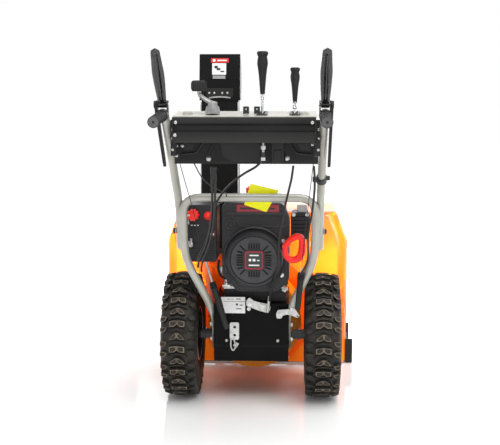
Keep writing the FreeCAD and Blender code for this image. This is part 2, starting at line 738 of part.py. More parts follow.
def tyres_and_rims():
    tyres, rims = [], []
    rim, outer = "#rim_radius", "#wheel_radius"
    half = "#tyre_half_width"
    for side, sign in SIDES:
        tyre = helper_body("tyre_" + side)
        place(tyre, "%d * #wheel_track_half" % sign, 0, "#axle_height")
        revolve(tyre, "XY", 0,
                polygon(("-41", rim), ("-49", "112"), ("-" + half, "158"), ("-47", outer + " - 7"),
                        ("-30", outer), ("30", outer), ("47", outer + " - 7"), (half, "158"),
                        ("49", "112"), ("41", rim), ("34", rim), ("41", "114"), ("44", "156"),
                        ("37", outer + " - 14"), ("-37", outer + " - 14"), ("-44", "156"),
                        ("-41", "114"), ("-34", rim)))
        tyres.append(tyre)
        wheel = helper_body("wheel_rim_" + side)
        place(wheel, "%d * #wheel_track_half" % sign, 0, "#axle_height")
        dish = (("#hub_radius", 2), (rim + " - 3", -8), (rim + " - 3", -5), ("#hub_radius", 5))
        if sign < 0:
            dish = tuple((radius, -x) for radius, x in reversed(dish))
        revolve(wheel, "XY", 0, polygon(("-50", "#axle_radius"), ("-50", "#hub_radius"),
                                        ("52", "#hub_radius"), ("52", "#axle_radius")))
        revolve(wheel, "XY", 0,
                polygon(*[(x, radius) for radius, x in dish]))
        revolve(wheel, "XY", 0,
                polygon(("-44", rim + " - 3"), ("-44", rim + " + 3"), ("-42", rim + " + 3"),
                        ("-42", rim), ("42", rim), ("42", rim + " + 3"), ("44", rim + " + 3"),
                        ("44", rim + " - 3")))
        rims.append(wheel)
    group("tyres", tyres)
    group("wheel_rims", rims)


def drive_axle():
    bar = rod("axle_bar", "X", "-#axle_half_length", 0, "#axle_height", "#axle_radius",
              "2 * #axle_half_length")
    sprocket = rod("axle_sprocket", "X", "#sprocket_x", 0, "#axle_height", "#axle_sprocket_radius", 5)
    keep(fused("drive_axle", bar, sprocket), "drive_axle")


# ---------------------------------------------------------------- engine

def engine_block():
    body = new_body("engine_block")
    front = "#shroud_front + 3"
    pad(body, "XZ", front, "127", polygon(("-62", "#case_roof + 8"), ("-62", "480"), ("-30", "510"),
                                          ("84", "510"), ("90", "#case_roof + 8")))
    round_edges(body, 10, "Y")
    pad(body, "XZ", front, "127", rectangle("-84", "#case_roof + %s" % GAP, "104", "#case_roof + 12"))
    pad(body, "XZ", front + " + 20", "90", rectangle("-20", "505", "90", "552"))
    pocket(body, "XZ", "-200", "400",
           circle("#crank_x", "#crank_height", "#crank_radius + %s" % RUNNING_CLEARANCE))


def crankshaft():
    body = new_body("crankshaft")
    place(body, "#crank_x", 0, "#crank_height")
    rear = "#shroud_rear + 12"
    traction, auger = "#case_front - 69", "#case_front - 50"
    revolve(body, "YZ", 0,
            polygon((rear, 0), (rear, 72), (rear + " + 20", 72), (rear + " + 28", 30),
                    (rear + " + 34", "#crank_radius"), (traction, "#crank_radius"),
                    (traction, "#drive_pulley_radius"), (traction + " + 2", "#drive_pulley_radius"),
                    (traction + " + 4", "#drive_pulley_radius - 8"),
                    (traction + " + 8", "#drive_pulley_radius - 8"),
                    (traction + " + 10", "#drive_pulley_radius"),
                    (traction + " + 12", "#drive_pulley_radius"), (traction + " + 12", 14),
                    (auger, 14), (auger, "#engine_pulley_radius"),
                    (auger + " + 2", "#engine_pulley_radius"),
                    (auger + " + 5", "#engine_pulley_radius - 9"),
                    (auger + " + 11", "#engine_pulley_radius - 9"),
                    (auger + " + 14", "#engine_pulley_radius"),
                    (auger + " + 16", "#engine_pulley_radius"), (auger + " + 16", 0)))


def engine_shroud():
    body = new_body("engine_shroud")
    left, right = "#shroud_left", "#shroud_right"
    base, top = "#shroud_base", "#shroud_top"
    rear, depth = "#shroud_rear", "#shroud_front - #shroud_rear"
    pad(body, "XZ", rear, depth,
        polygon((left, base + " + 50"), (left, top + " - 46"), (left + " + 22", top),
                (right + " - 22", top), (right, top + " - 46"), (right, base + " + 30"),
                (right + " - 30", base), (left + " + 46", base)))
    round_edges(body, 8, "Y")
    pocket(body, "XZ", rear + " + 3", depth,
           polygon((left + " + 3", base + " + 51"), (left + " + 3", top + " - 47"),
                   (left + " + 24", top + " - 3"), (right + " - 24", top + " - 3"),
                   (right + " - 3", top + " - 47"), (right + " - 3", base + " + 31"),
                   (right + " - 31", base + " + 3"), (left + " + 47", base + " + 3")))
    pocket(body, "XZ", rear + " - 1", "8", circle("#crank_x", "#crank_height", "#recoil_radius - 12"))


def recoil_cover():
    body = new_body("recoil_cover")
    place(body, "#crank_x", 0, "#crank_height")
    face, base = "#recoil_face", "#shroud_rear - %s" % GAP
    radius = "#recoil_radius"
    revolve(body, "YZ", 0,
            polygon((base, radius), (face + " + 14", radius + " - 3"), (face + " + 3", radius + " - 12"),
                    (face, radius + " - 22"), (face, 0), (face + " + 3", 0),
                    (face + " + 3", radius + " - 24"), (face + " + 6", radius + " - 15"),
                    (face + " + 15", radius + " - 6"), (base, radius + " - 3")))
    slot = pocket(body, "XZ", face + " - 2", "8", rectangle(-3.5, 32, 3.5, 56))
    polar(body, slot, 18, "Y")


def fuel_tank():
    body = new_body("fuel_tank")
    pad(body, "XZ", "#shroud_front + 5", "142", rectangle("-72", "558", "96", "614"))
    round_edges(body, 16, "Y")
    round_edges(body, 16, "Z")
    pad(body, "XY", "600", "20", circle(4, "-20", 17))
    cap = new_body("fuel_cap")
    place(cap, 4, -20, 0)
    pad(cap, "XY", "#hoop_top - 9", "20", circle(0, 0, 24))


def carburettor_cover():
    body = new_body("carburettor_cover")
    pad(body, "XZ", "-120", "98", rectangle("-187", "430", "-98", "596"))
    round_edges(body, 9, "Y")
    pocket(body, "XZ", "-117", "98", rectangle("-184", "433", "-101", "593"))
    keep(rod("choke_knob", "Y", -165, "-140", 568, 18, "20 - %s" % GAP), "choke_knob")
    stem = rod("throttle_stem", "Y", -172, "-130", 480, 7, "10 - %s" % GAP)
    arm = block("throttle_arm", ("-176", "-130", "480"), ("-168", "-126", "500"))
    keep(fused("throttle_lever", stem, arm), "throttle_lever")


def muffler():
    body = new_body("muffler")
    pad(body, "XZ", "-80", "105", rectangle("114", "492", "169", "570"))
    round_edges(body, 9, "Y")
    round_edges(body, 6, "Z")


def starter_grip():
    """A mitten-sized loop that parks beside the starter cover."""
    centre_x, centre_z, length = 122, 486, 16
    rear = "#recoil_face - 8"

    def stadium(tag, radius, start, deep):
        ends = [rod("grip_%s_%s" % (tag, end), "Y", centre_x, start, centre_z + shift, radius, deep)
                for end, shift in (("low", -10), ("high", 10))]
        middle = block("grip_%s_middle" % tag,
                       ("%s - %s" % (centre_x, radius), start, centre_z - 10),
                       ("%s + %s" % (centre_x, radius), "%s + %s" % (start, deep), centre_z + 10))
        return fused("grip_" + tag, middle, *ends)

    stem = rod("grip_stem", "Y", centre_x - 24, rear + " + 10", centre_z + 6, 5,
               "#shroud_rear - (%s) - 10.4" % rear)
    ring = minus("grip_ring", stadium("outside", 33.5, rear, length),
                 stadium("inside", 20, rear + " - 1", length + 2))
    keep(fused("starter_grip", ring, stem), "starter_grip")


# ---------------------------------------------------------------- handles

def lower_handle():
    half, top = value_of("#hoop_half_width"), value_of("#hoop_top")
    foot = value_of("#case_half_width + #hoop_radius") + GAP
    left = [(-foot, -88, 176), (-foot, -125, 312), (-half, -205, 458), (-half, -234, top)]
    points = left + [(-x, y, z) for x, y, z in reversed(left)]
    shape = tube_shape(points, [110, 110, 52, 52, 110, 110], value_of("#hoop_radius"),
                       value_of("#tube_wall"))
    keep(shape_feature("lower_handle", shape), "lower_handle")


def upper_route(sign):
    x = sign * value_of("#upper_half_width")
    return [(x, -186, 481), (x, -203, 605), (x, -478, 862), (x, value_of("#grip_end") + 3, 846)]


def upper_handles():
    tubes = []
    for side, sign in SIDES:
        shape = tube_shape(upper_route(sign), [160, 45], value_of("#upper_radius"),
                           value_of("#tube_wall"))
        tubes.append(shape_feature("upper_handle_" + side, shape))
    group("upper_handles", tubes)


def grip_line(sign):
    """Two points on the rear run of a handle tube: its bend and its end."""
    route = upper_route(sign)
    return Vector(*route[2]), Vector(*route[3])


def handle_grips():
    grips = []
    for side, sign in SIDES:
        bend, end = grip_line(sign)
        along = (end - bend).normalize()
        start = bend + along * ((end - bend).Length - 118)
        outer = Part.makeCylinder(value_of("#grip_radius"), 121, start, along)
        inner = Part.makeCylinder(value_of("#upper_radius"), 118, start, along)
        shape = outer.cut(inner)
        grips.append(shape_feature("handle_grip_" + side, shape))
    group("handle_grips", grips)


def lever_brackets():
    brackets = []
    pivot_y, pivot_z = value_of("#lever_pivot_y"), value_of("#lever_pivot_z")
    for side, sign in SIDES:
        x = sign * value_of("#upper_half_width")
        bend, end = grip_line(sign)
        along = (end - bend).normalize()
        middle = bend + along * 40
        clamp = Part.makeCylinder(15, 30, middle - along * 15, along)
        ears = [Part.makeBox(3, 20, 34, Vector(x + shift - 1.5, pivot_y - 10, pivot_z - 24))
                for shift in (-12.5, 12.5)]
        shape = clamp.fuse(ears)
        shape = shape.cut(Part.makeCylinder(value_of("#upper_radius"), 60, middle - along * 30, along))
        pin_hole = Part.makeCylinder(4 + RUNNING_CLEARANCE, 60, Vector(x - 30, pivot_y, pivot_z),
                                     Vector(1, 0, 0))
        shape = shape.cut(pin_hole)
        brackets.append(shape_feature("lever_bracket_" + side, shape))
    group("lever_brackets", brackets)


def clutch_levers():
    pivot_y, pivot_z = value_of("#lever_pivot_y"), value_of("#lever_pivot_z")
    for name, sign in (("drive_lever", -1), ("auger_lever", 1)):
        x = sign * value_of("#upper_half_width")
        hub = Part.makeCylinder(8, 20, Vector(x - 10, pivot_y, pivot_z), Vector(1, 0, 0))
        start = x - 15.5 if sign > 0 else x - 20
        pin = Part.makeCylinder(4, 35.5, Vector(start, pivot_y, pivot_z), Vector(1, 0, 0))
        outline = [Vector(0, -10, 0), Vector(0, -14, 60), Vector(0, -13, 140), Vector(0, -9, 170),
                   Vector(0, 9, 170), Vector(0, 13, 140), Vector(0, 14, 60), Vector(0, 10, 0)]
        face = Part.Face(Part.makePolygon([Vector(v.y, -4, v.z) for v in outline + outline[:1]]))
        paddle = face.extrude(Vector(0, 8, 0))
        paddle.rotate(Vector(), Vector(1, 0, 0), LEVER_LEAN)
        paddle.translate(Vector(x, pivot_y, pivot_z))
        arm_x = x + 16 if sign > 0 else x - 20
        arm = Part.makeBox(4, 14, 185, Vector(0, -7, -185))
        arm.rotate(Vector(), Vector(1, 0, 0), LEVER_LEAN)
        arm.translate(Vector(arm_x, pivot_y, pivot_z))
        boss = Part.makeCylinder(9, 4, Vector(arm_x, pivot_y, pivot_z), Vector(1, 0, 0))
        shape = hub.fuse([pin, paddle, arm, boss])
        keep(shape_feature(name, shape), name)


# ---------------------------------------------------------------- dash

def dash():
    half = "#dash_half_width"
    panel = new_body("dash_panel")
    pad(panel, "YZ", "-" + half, "2 * " + half,
        polygon(("#dash_rear + 3", "#dash_top"), ("#dash_front", "#dash_top + 11"),
                ("#dash_front", "#dash_top - 18"), ("#dash_front - 2", "#dash_top - 18"),
                ("#dash_front - 2", "#dash_top + 8.8"), ("#dash_rear + 3", "#dash_top - 2")))
    slots = [rectangle("%s - 7" % x, "#lever_row_y - 30", "%s + 7" % x, "#lever_row_y + 30")
             for x in ("#speed_x", "#deflector_lever_x")]
    pocket(panel, "XY", "#dash_top - 40", "100",
           several(circle("#crank_hub_x", "#crank_hub_y", "8"), *slots))

    channel = new_body("dash_channel")
    rear = "#dash_rear"
    pad(channel, "YZ", "-176", "348",
        polygon((rear, "#dash_top - 2"), (rear, "837"), (rear + " + 6", "833"), (rear + " + 6", "820"),
                (rear, "817"), (rear + " + 4", "790"), (rear + " + 6.5", "790"),
                (rear + " + 6.5", "797"), (rear + " + 46", "797"),
                (rear + " + 46", "799.5"), (rear + " + 7", "799.5"), (rear + " + 4", "818"),
                (rear + " + 9", "821"), (rear + " + 9", "834"), (rear + " + 2.6", "839"),
                (rear + " + 2.6", "#dash_top - 2")))
    for side, low, high in (("left", "-179", "-176"), ("right", "172", "175")):
        pad(channel, "YZ", low, "3",
            polygon((rear, "797"), (rear, "#dash_top - 2.4"), (rear + " + 62", "#dash_top - 2.4"),
                    (rear + " + 76", "797")))

    bracket = new_body("dash_bracket")
    plate_y = "#dash_rear + 78"
    side_gap = "#upper_half_width - #upper_radius - 1"
    pad(bracket, "YZ", "-(%s)" % side_gap, "2 * (%s)" % side_gap,
        polygon((plate_y, "733"), (plate_y, "794"), (plate_y + " - 55", "794"),
                (plate_y + " - 55", "796.6"), (plate_y + " + 2.5", "796.6"), (plate_y + " + 2.5", "733")))
    wide_recess = polygon(("-60", "796"), ("-44", "748"), ("40", "748"), ("56", "796"))
    pocket(bracket, "XZ", plate_y + " - 1", "2", wide_recess)
    for low, high in (("-150", "-112"), ("112", "150")):
        pocket(bracket, "XZ", plate_y + " - 1", "2", rectangle(low, "760", high, "790"))


def lever_shape(name, x, low_z, knob_low, knob_high, radius_low, radius_high):
    """A control lever: a chrome rod with a tapered knob, pivoting under the dash."""
    y, z = "#lever_row_y", "#lever_row_z"
    pivot = rod(name + "_pivot", "X", "%s - 9" % x, y, z, 5, 18)
    stem = rod(name + "_stem", "Z", x, y, low_z, 4, "%s - (%s) + 10" % (knob_low, low_z))
    knob = cone(name + "_knob", "Z", x, y, knob_low, radius_low, radius_high,
                "%s - %s - 8" % (knob_high, knob_low))
    crown = cone(name + "_crown", "Z", x, y, "%s - 8" % knob_high, radius_high, "%s / 2" % radius_high, 8)
    keep(fused(name, pivot, stem, knob, crown), name)


def dash_controls():
    lever_shape("speed_lever", "#speed_x", "#lever_row_z", 908, 1015, 8, 15)
    lever_shape("deflector_lever", "#deflector_lever_x", "#lever_row_z", 887, 975, 8, 13)

    hub_x, hub_y, top = "#crank_hub_x", "#crank_hub_y", "#dash_top + 4"
    base = cone("crank_base", "Z", hub_x, hub_y, top + " + 2", 19, 12.5, 24)
    shaft = rod("crank_spindle", "Z", hub_x, hub_y, "#dash_top - 45", 6, 60)
    spool = rod("crank_spool", "Z", hub_x, hub_y, "#dash_top - 45", 20, 14)
    x, y, z = value_of(hub_x), value_of(hub_y), value_of(top)
    route = [Vector(x, y, z + 30), Vector(x - 10, y, z + 32), Vector(x - 34, y, z + 49)]
    bar = swept(rounded_route(route, [10]), 6)
    cap = Part.makeCylinder(11, 9, Vector(x, y, z + 26))
    arm = shape_feature("crank_arm", bar.fuse([cap, Part.makeSphere(7, route[-1])]))
    keep(fused("chute_crank", base, shaft, spool, arm), "chute_crank")
    keep(rod("crank_knob", "Z", hub_x + " - 34", hub_y, "#dash_top + 61", 20, 27), "crank_knob")

    for side, x in (("left", 2), ("right", 29)):
        name = "rocker_switch_" + side
        cap = block(name + "_cap", (x - 6.5, "#crank_hub_y - 12", "#dash_top + 5.6"),
                    (x + 6.5, "#crank_hub_y + 2", "#dash_top + 24"))
        pin = rod(name + "_pin", "X", x - 7.5, "#crank_hub_y - 5", "#dash_top + 8", 2.2, 15)
        keep(fused(name, cap, pin), name)


# ---------------------------------------------------------------- cables and links

def clutch_links():
    rear = "#case_rear - 4"
    pivot = rod("shift_pivot", "Y", -6, "-128", 294, 8, "14.5")
    bar = block("shift_bar", ("-10", "-128", "290"), ("58", "-124", "302"))
    keep(fused("shift_arm", pivot, bar), "shift_arm")
    plate = block("link_plate", ("-62", rear + " - 6", "200"), ("-35", rear + " - 3", "252"))
    holes = [rod("link_hole_%d" % z, "Y", -48, rear + " - 8", z, 4, 8) for z in (214, 238)]
    keep(minus("clutch_link", plate, *holes), "clutch_link")
    pivot = rod("clutch_pivot", "Y", 86, "-137", 279, 7, "23.5")
    bar = block("clutch_bar", ("80", "-137", "272"), ("140", "-133", "284"))
    keep(fused("clutch_arm", pivot, bar), "clutch_arm")


CABLES = {
    "chute_cable_a": ("#cable_radius", [(-86, -412, 728), (-86, -400, 690), (-88, -380, 645),
                                        (-94, -330, 590), (-103, -290, 545), (-116, -250, 500),
                                        (-132, -224, 468), (-146, -188, 440), (-150, -150, 420)]),
    "chute_cable_b": ("#cable_radius", [(-78, -412, 728), (-78, -402, 690), (-80, -384, 645),
                                        (-86, -338, 590), (-95, -298, 545), (-108, -262, 500),
                                        (-124, -236, 463), (-137, -200, 432), (-140, -150, 408)]),
    "shift_cable": ("#cable_radius", [(120, -389, 729), (117, -380, 700), (110, -345, 668),
                                      (101, -300, 625), (93, -262, 578), (84, -246, 540),
                                      (82, -236, 500), (81, -228, 465), (77, -218, 430),
                                      (67, -195, 392), (57, -165, 352), (54, -142, 322)]),
    "gear_cable": ("#cable_radius", [(44, -434, 790), (43, -434, 746), (27, -424, 728),
                                     (-2, -400, 712), (-38, -360, 684), (-67, -322, 652),
                                     (-88, -285, 618), (-97, -262, 585), (-106, -245, 545),
                                     (-120, -226, 505), (-137, -205, 470), (-150, -170, 442)]),
    "auger_cable": ("#cable_radius", [(172, -392, 728), (176, -378, 690), (174, -345, 640),
                                      (170, -306, 595), (163, -278, 550), (161, -262, 505),
                                      (163, -248, 468), (156, -232, 440), (145, -216, 420)]),
}


def control_cables():
    solids = []
    for name, (radius, route) in CABLES.items():
        points = [Vector(*p) for p in route]
        radii = easy_radii(points)
        print(name, "bend radii", [round(r) for r in radii])
        solids.append(shape_feature(name, swept(rounded_route(points, radii), value_of(radius))))
    group("control_cables", solids)


def cable_boots():
    boots = []
    for side, low, high in (("left", Vector(-69, -140, 238), Vector(-119, -152, 378)),
                            ("right", Vector(148, -160, 302), Vector(144, -214, 416))):
        along = (high - low)
        boots.append(shape_feature("cable_boot_" + side,
                                   Part.makeCylinder(7.5, along.Length, low, along)))
    group("cable_boots", boots)


def fasteners():
    heads = []

    def bolt(tag, axis, x, y, z, radius=6, height=5):
        head = doc.addObject("Part::Prism", "bolt_" + tag)
        head.Polygon = 6
        bind(head, "Circumradius", radius)
        bind(head, "Height", height)
        heads.append(place(head, x, y, z, axis))

    for side, sign in SIDES:
        shoe = "#housing_half_width + #shoe_plate" if sign > 0 else "-#housing_half_width - #shoe_plate - 5"
        for number, y in enumerate(("#shoe_rear + 60", "#shoe_rear + 170"), start=1):
            bolt("shoe_%s_%d" % (side, number), "X", shoe, y, 58, 7)
        bolt("cover_" + side, "Y", sign * 95, "#case_rear - 3 - 4", 290, 5, 4)
        bolt("cover_low_" + side, "Y", sign * 72, "#case_rear - 3 - 4", 194, 5, 4)
        bolt("dash_" + side, "Y", "%d * 95 - 2" % sign, "#dash_rear + 78 - 5", 748, 7)
    group("fasteners", heads)


def build():
    auger_housing()
    side_plates()
    scraper_bar()
    skid_shoes()
    impeller_drum()
    impeller_group()
    auger_gearbox()
    auger_flights()
    auger_shaft()
    chute_ring()
    chute()
    deflector()
    transmission_case()
    transmission_cover()
    friction_drive()
    drive_belts()
    bearings()
    belt_cover()
    tyres_and_rims()
    drive_axle()
    engine_block()
    crankshaft()
    engine_shroud()
    recoil_cover()
    fuel_tank()
    carburettor_cover()
    muffler()
    starter_grip()
    lower_handle()
    upper_handles()
    handle_grips()
    lever_brackets()
    clutch_levers()
    dash()
    dash_controls()
    clutch_links()
    control_cables()
    cable_boots()
    fasteners()


def check_and_write():
    doc.recompute()
    for obj in doc.Objects:
        if "Invalid" in obj.State or "Error" in obj.State:
            raise RuntimeError("%s failed: %s" % (obj.Label, obj.State))
    os.makedirs("parts", exist_ok=True)
    for obj in SUBPARTS:
        shape = obj.Shape
        if shape.isNull() or not shape.isValid() or not shape.Solids:
            raise RuntimeError(obj.Label + " has no valid solid")
        shape.exportStep(os.path.join("parts", obj.Label + ".step"))
        box = shape.BoundBox
        print("%-20s %2d solids  x %5.0f %5.0f  y %5.0f %5.0f  z %5.0f %5.0f" % (
            obj.Label, len(shape.Solids), box.XMin, box.XMax, box.YMin, box.YMax, box.ZMin, box.ZMax))
    print(len(SUBPARTS), "sub-parts")


build()
check_and_write()
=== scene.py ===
import json
from math import atan2, copysign, cos, pi, radians, sin, sqrt

import bmesh
import bpy
from mathutils import Matrix, Vector


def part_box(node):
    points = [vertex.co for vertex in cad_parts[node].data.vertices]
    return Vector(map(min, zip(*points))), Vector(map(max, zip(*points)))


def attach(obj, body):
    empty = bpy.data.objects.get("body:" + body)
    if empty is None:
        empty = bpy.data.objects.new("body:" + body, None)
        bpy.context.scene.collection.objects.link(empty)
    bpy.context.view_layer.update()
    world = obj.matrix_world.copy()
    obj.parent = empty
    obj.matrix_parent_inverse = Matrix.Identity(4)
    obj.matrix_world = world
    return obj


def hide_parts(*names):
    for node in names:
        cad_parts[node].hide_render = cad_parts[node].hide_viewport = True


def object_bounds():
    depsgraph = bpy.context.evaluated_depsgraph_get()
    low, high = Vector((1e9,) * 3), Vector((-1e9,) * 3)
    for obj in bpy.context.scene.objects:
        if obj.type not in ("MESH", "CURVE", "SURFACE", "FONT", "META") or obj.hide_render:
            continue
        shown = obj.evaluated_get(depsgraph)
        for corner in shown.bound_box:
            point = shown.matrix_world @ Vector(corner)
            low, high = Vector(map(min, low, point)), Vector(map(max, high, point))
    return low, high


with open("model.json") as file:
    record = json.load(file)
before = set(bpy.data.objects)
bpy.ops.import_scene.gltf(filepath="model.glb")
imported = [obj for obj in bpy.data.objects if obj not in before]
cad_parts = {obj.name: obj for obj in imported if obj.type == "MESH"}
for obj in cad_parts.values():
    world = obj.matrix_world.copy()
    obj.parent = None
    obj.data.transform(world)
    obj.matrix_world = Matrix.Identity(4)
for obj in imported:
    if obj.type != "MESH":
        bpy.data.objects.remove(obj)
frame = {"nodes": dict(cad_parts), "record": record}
cad_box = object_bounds()

MM = 0.001
X = Vector((1, 0, 0))
Y = Vector((0, 1, 0))
Z = Vector((0, 0, 1))
SIDES = (("left", -1), ("right", 1))


def at(x, y, z):
    """A point, or a way to go, in millimetres. All shapes below are drawn in millimetres."""
    return Vector((x, y, z))


def box_of(node):
    """The lowest and the highest corner of a CAD node's box, in millimetres."""
    return [Vector(corner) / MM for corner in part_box(node)]


# ---- camera

def make_camera():
    """The photo's view, placed in metres."""
    data = bpy.data.cameras.new("camera")
    data.lens = 65.5
    data.sensor_width = 36
    camera = bpy.data.objects.new("camera", data)
    camera.location = (0.119, -2.7, 0.9)
    pitch_down = 0.1362
    yaw_left = 0.0472
    camera.rotation_euler = (pi / 2 - pitch_down, 0, yaw_left)
    bpy.context.collection.objects.link(camera)
    bpy.context.scene.camera = camera


# ---- finishes

def fill(node, **values):
    """Sets a shader node's inputs by name, with _ for the spaces."""
    for name, value in values.items():
        node.inputs[name.replace("_", " ")].default_value = value


def surface(name, dark, light, roughness, metallic=0.0, mottle=9.0, grain=900.0, depth=0.08,
            stretch=(1, 1, 1), coat=0.0, specular=0.5, edge=None):
    """A procedural finish: two tones mottled together, uneven gloss, a fine grain and lighter edges, which
    are a painted edge highlight along with edge wear.
    """
    mat = bpy.data.materials.new(name)
    mat.use_nodes = True
    nodes = mat.node_tree.nodes
    links = mat.node_tree.links
    shader = nodes["Principled BSDF"]
    fill(shader, Metallic=metallic, Coat_Weight=coat, Coat_Roughness=0.12, Specular_IOR_Level=specular)
    where = nodes.new("ShaderNodeTexCoord")
    scale = nodes.new("ShaderNodeMapping")
    fill(scale, Scale=stretch)
    links.new(where.outputs["Object"], scale.inputs["Vector"])

    patches = nodes.new("ShaderNodeTexNoise")
    fill(patches, Scale=mottle, Detail=3)
    links.new(scale.outputs["Vector"], patches.inputs["Vector"])
    tones = nodes.new("ShaderNodeValToRGB")
    for stop, place, tone in zip(tones.color_ramp.elements, (0.32, 0.68), (dark, light)):
        stop.position = place
        stop.color = (*tone, 1)
    links.new(patches.outputs["Fac"], tones.inputs["Fac"])
    colour = tones.outputs["Color"]

    # edge is the tone of the pointy edges: a painted edge highlight along with edge wear.
    if edge:
        form = nodes.new("ShaderNodeNewGeometry")
        edge_sheen_wear_mask = nodes.new("ShaderNodeMapRange")
        fill(edge_sheen_wear_mask, From_Min=0.53, From_Max=0.62)
        links.new(form.outputs["Pointiness"], edge_sheen_wear_mask.inputs["Value"])
        edge_sheen_wear_mix = nodes.new("ShaderNodeMix")
        edge_sheen_wear_mix.data_type = "RGBA"
        fill(edge_sheen_wear_mix, B=(*edge, 1))
        links.new(edge_sheen_wear_mask.outputs["Result"], edge_sheen_wear_mix.inputs["Factor"])
        links.new(colour, edge_sheen_wear_mix.inputs["A"])
        colour = edge_sheen_wear_mix.outputs["Result"]
    links.new(colour, shader.inputs["Base Color"])

    gloss = nodes.new("ShaderNodeMapRange")
    fill(gloss, To_Min=roughness[0], To_Max=roughness[1])
    links.new(patches.outputs["Fac"], gloss.inputs["Value"])
    links.new(gloss.outputs["Result"], shader.inputs["Roughness"])
    fine = nodes.new("ShaderNodeTexNoise")
    fill(fine, Scale=grain, Detail=2)
    links.new(scale.outputs["Vector"], fine.inputs["Vector"])
    bump = nodes.new("ShaderNodeBump")
    fill(bump, Strength=depth, Distance=0.6 * MM)
    links.new(fine.outputs["Fac"], bump.inputs["Height"])
    links.new(bump.outputs["Normal"], shader.inputs["Normal"])
    return mat


def grey(dark, light):
    """The two tones of a neutral finish."""
    return {"dark": (dark,) * 3, "light": (light,) * 3}


PAINT = dict(mottle=11, grain=1600, depth=0.16)
LABEL = dict(roughness=(0.30, 0.38), mottle=30, grain=1500, depth=0.04)
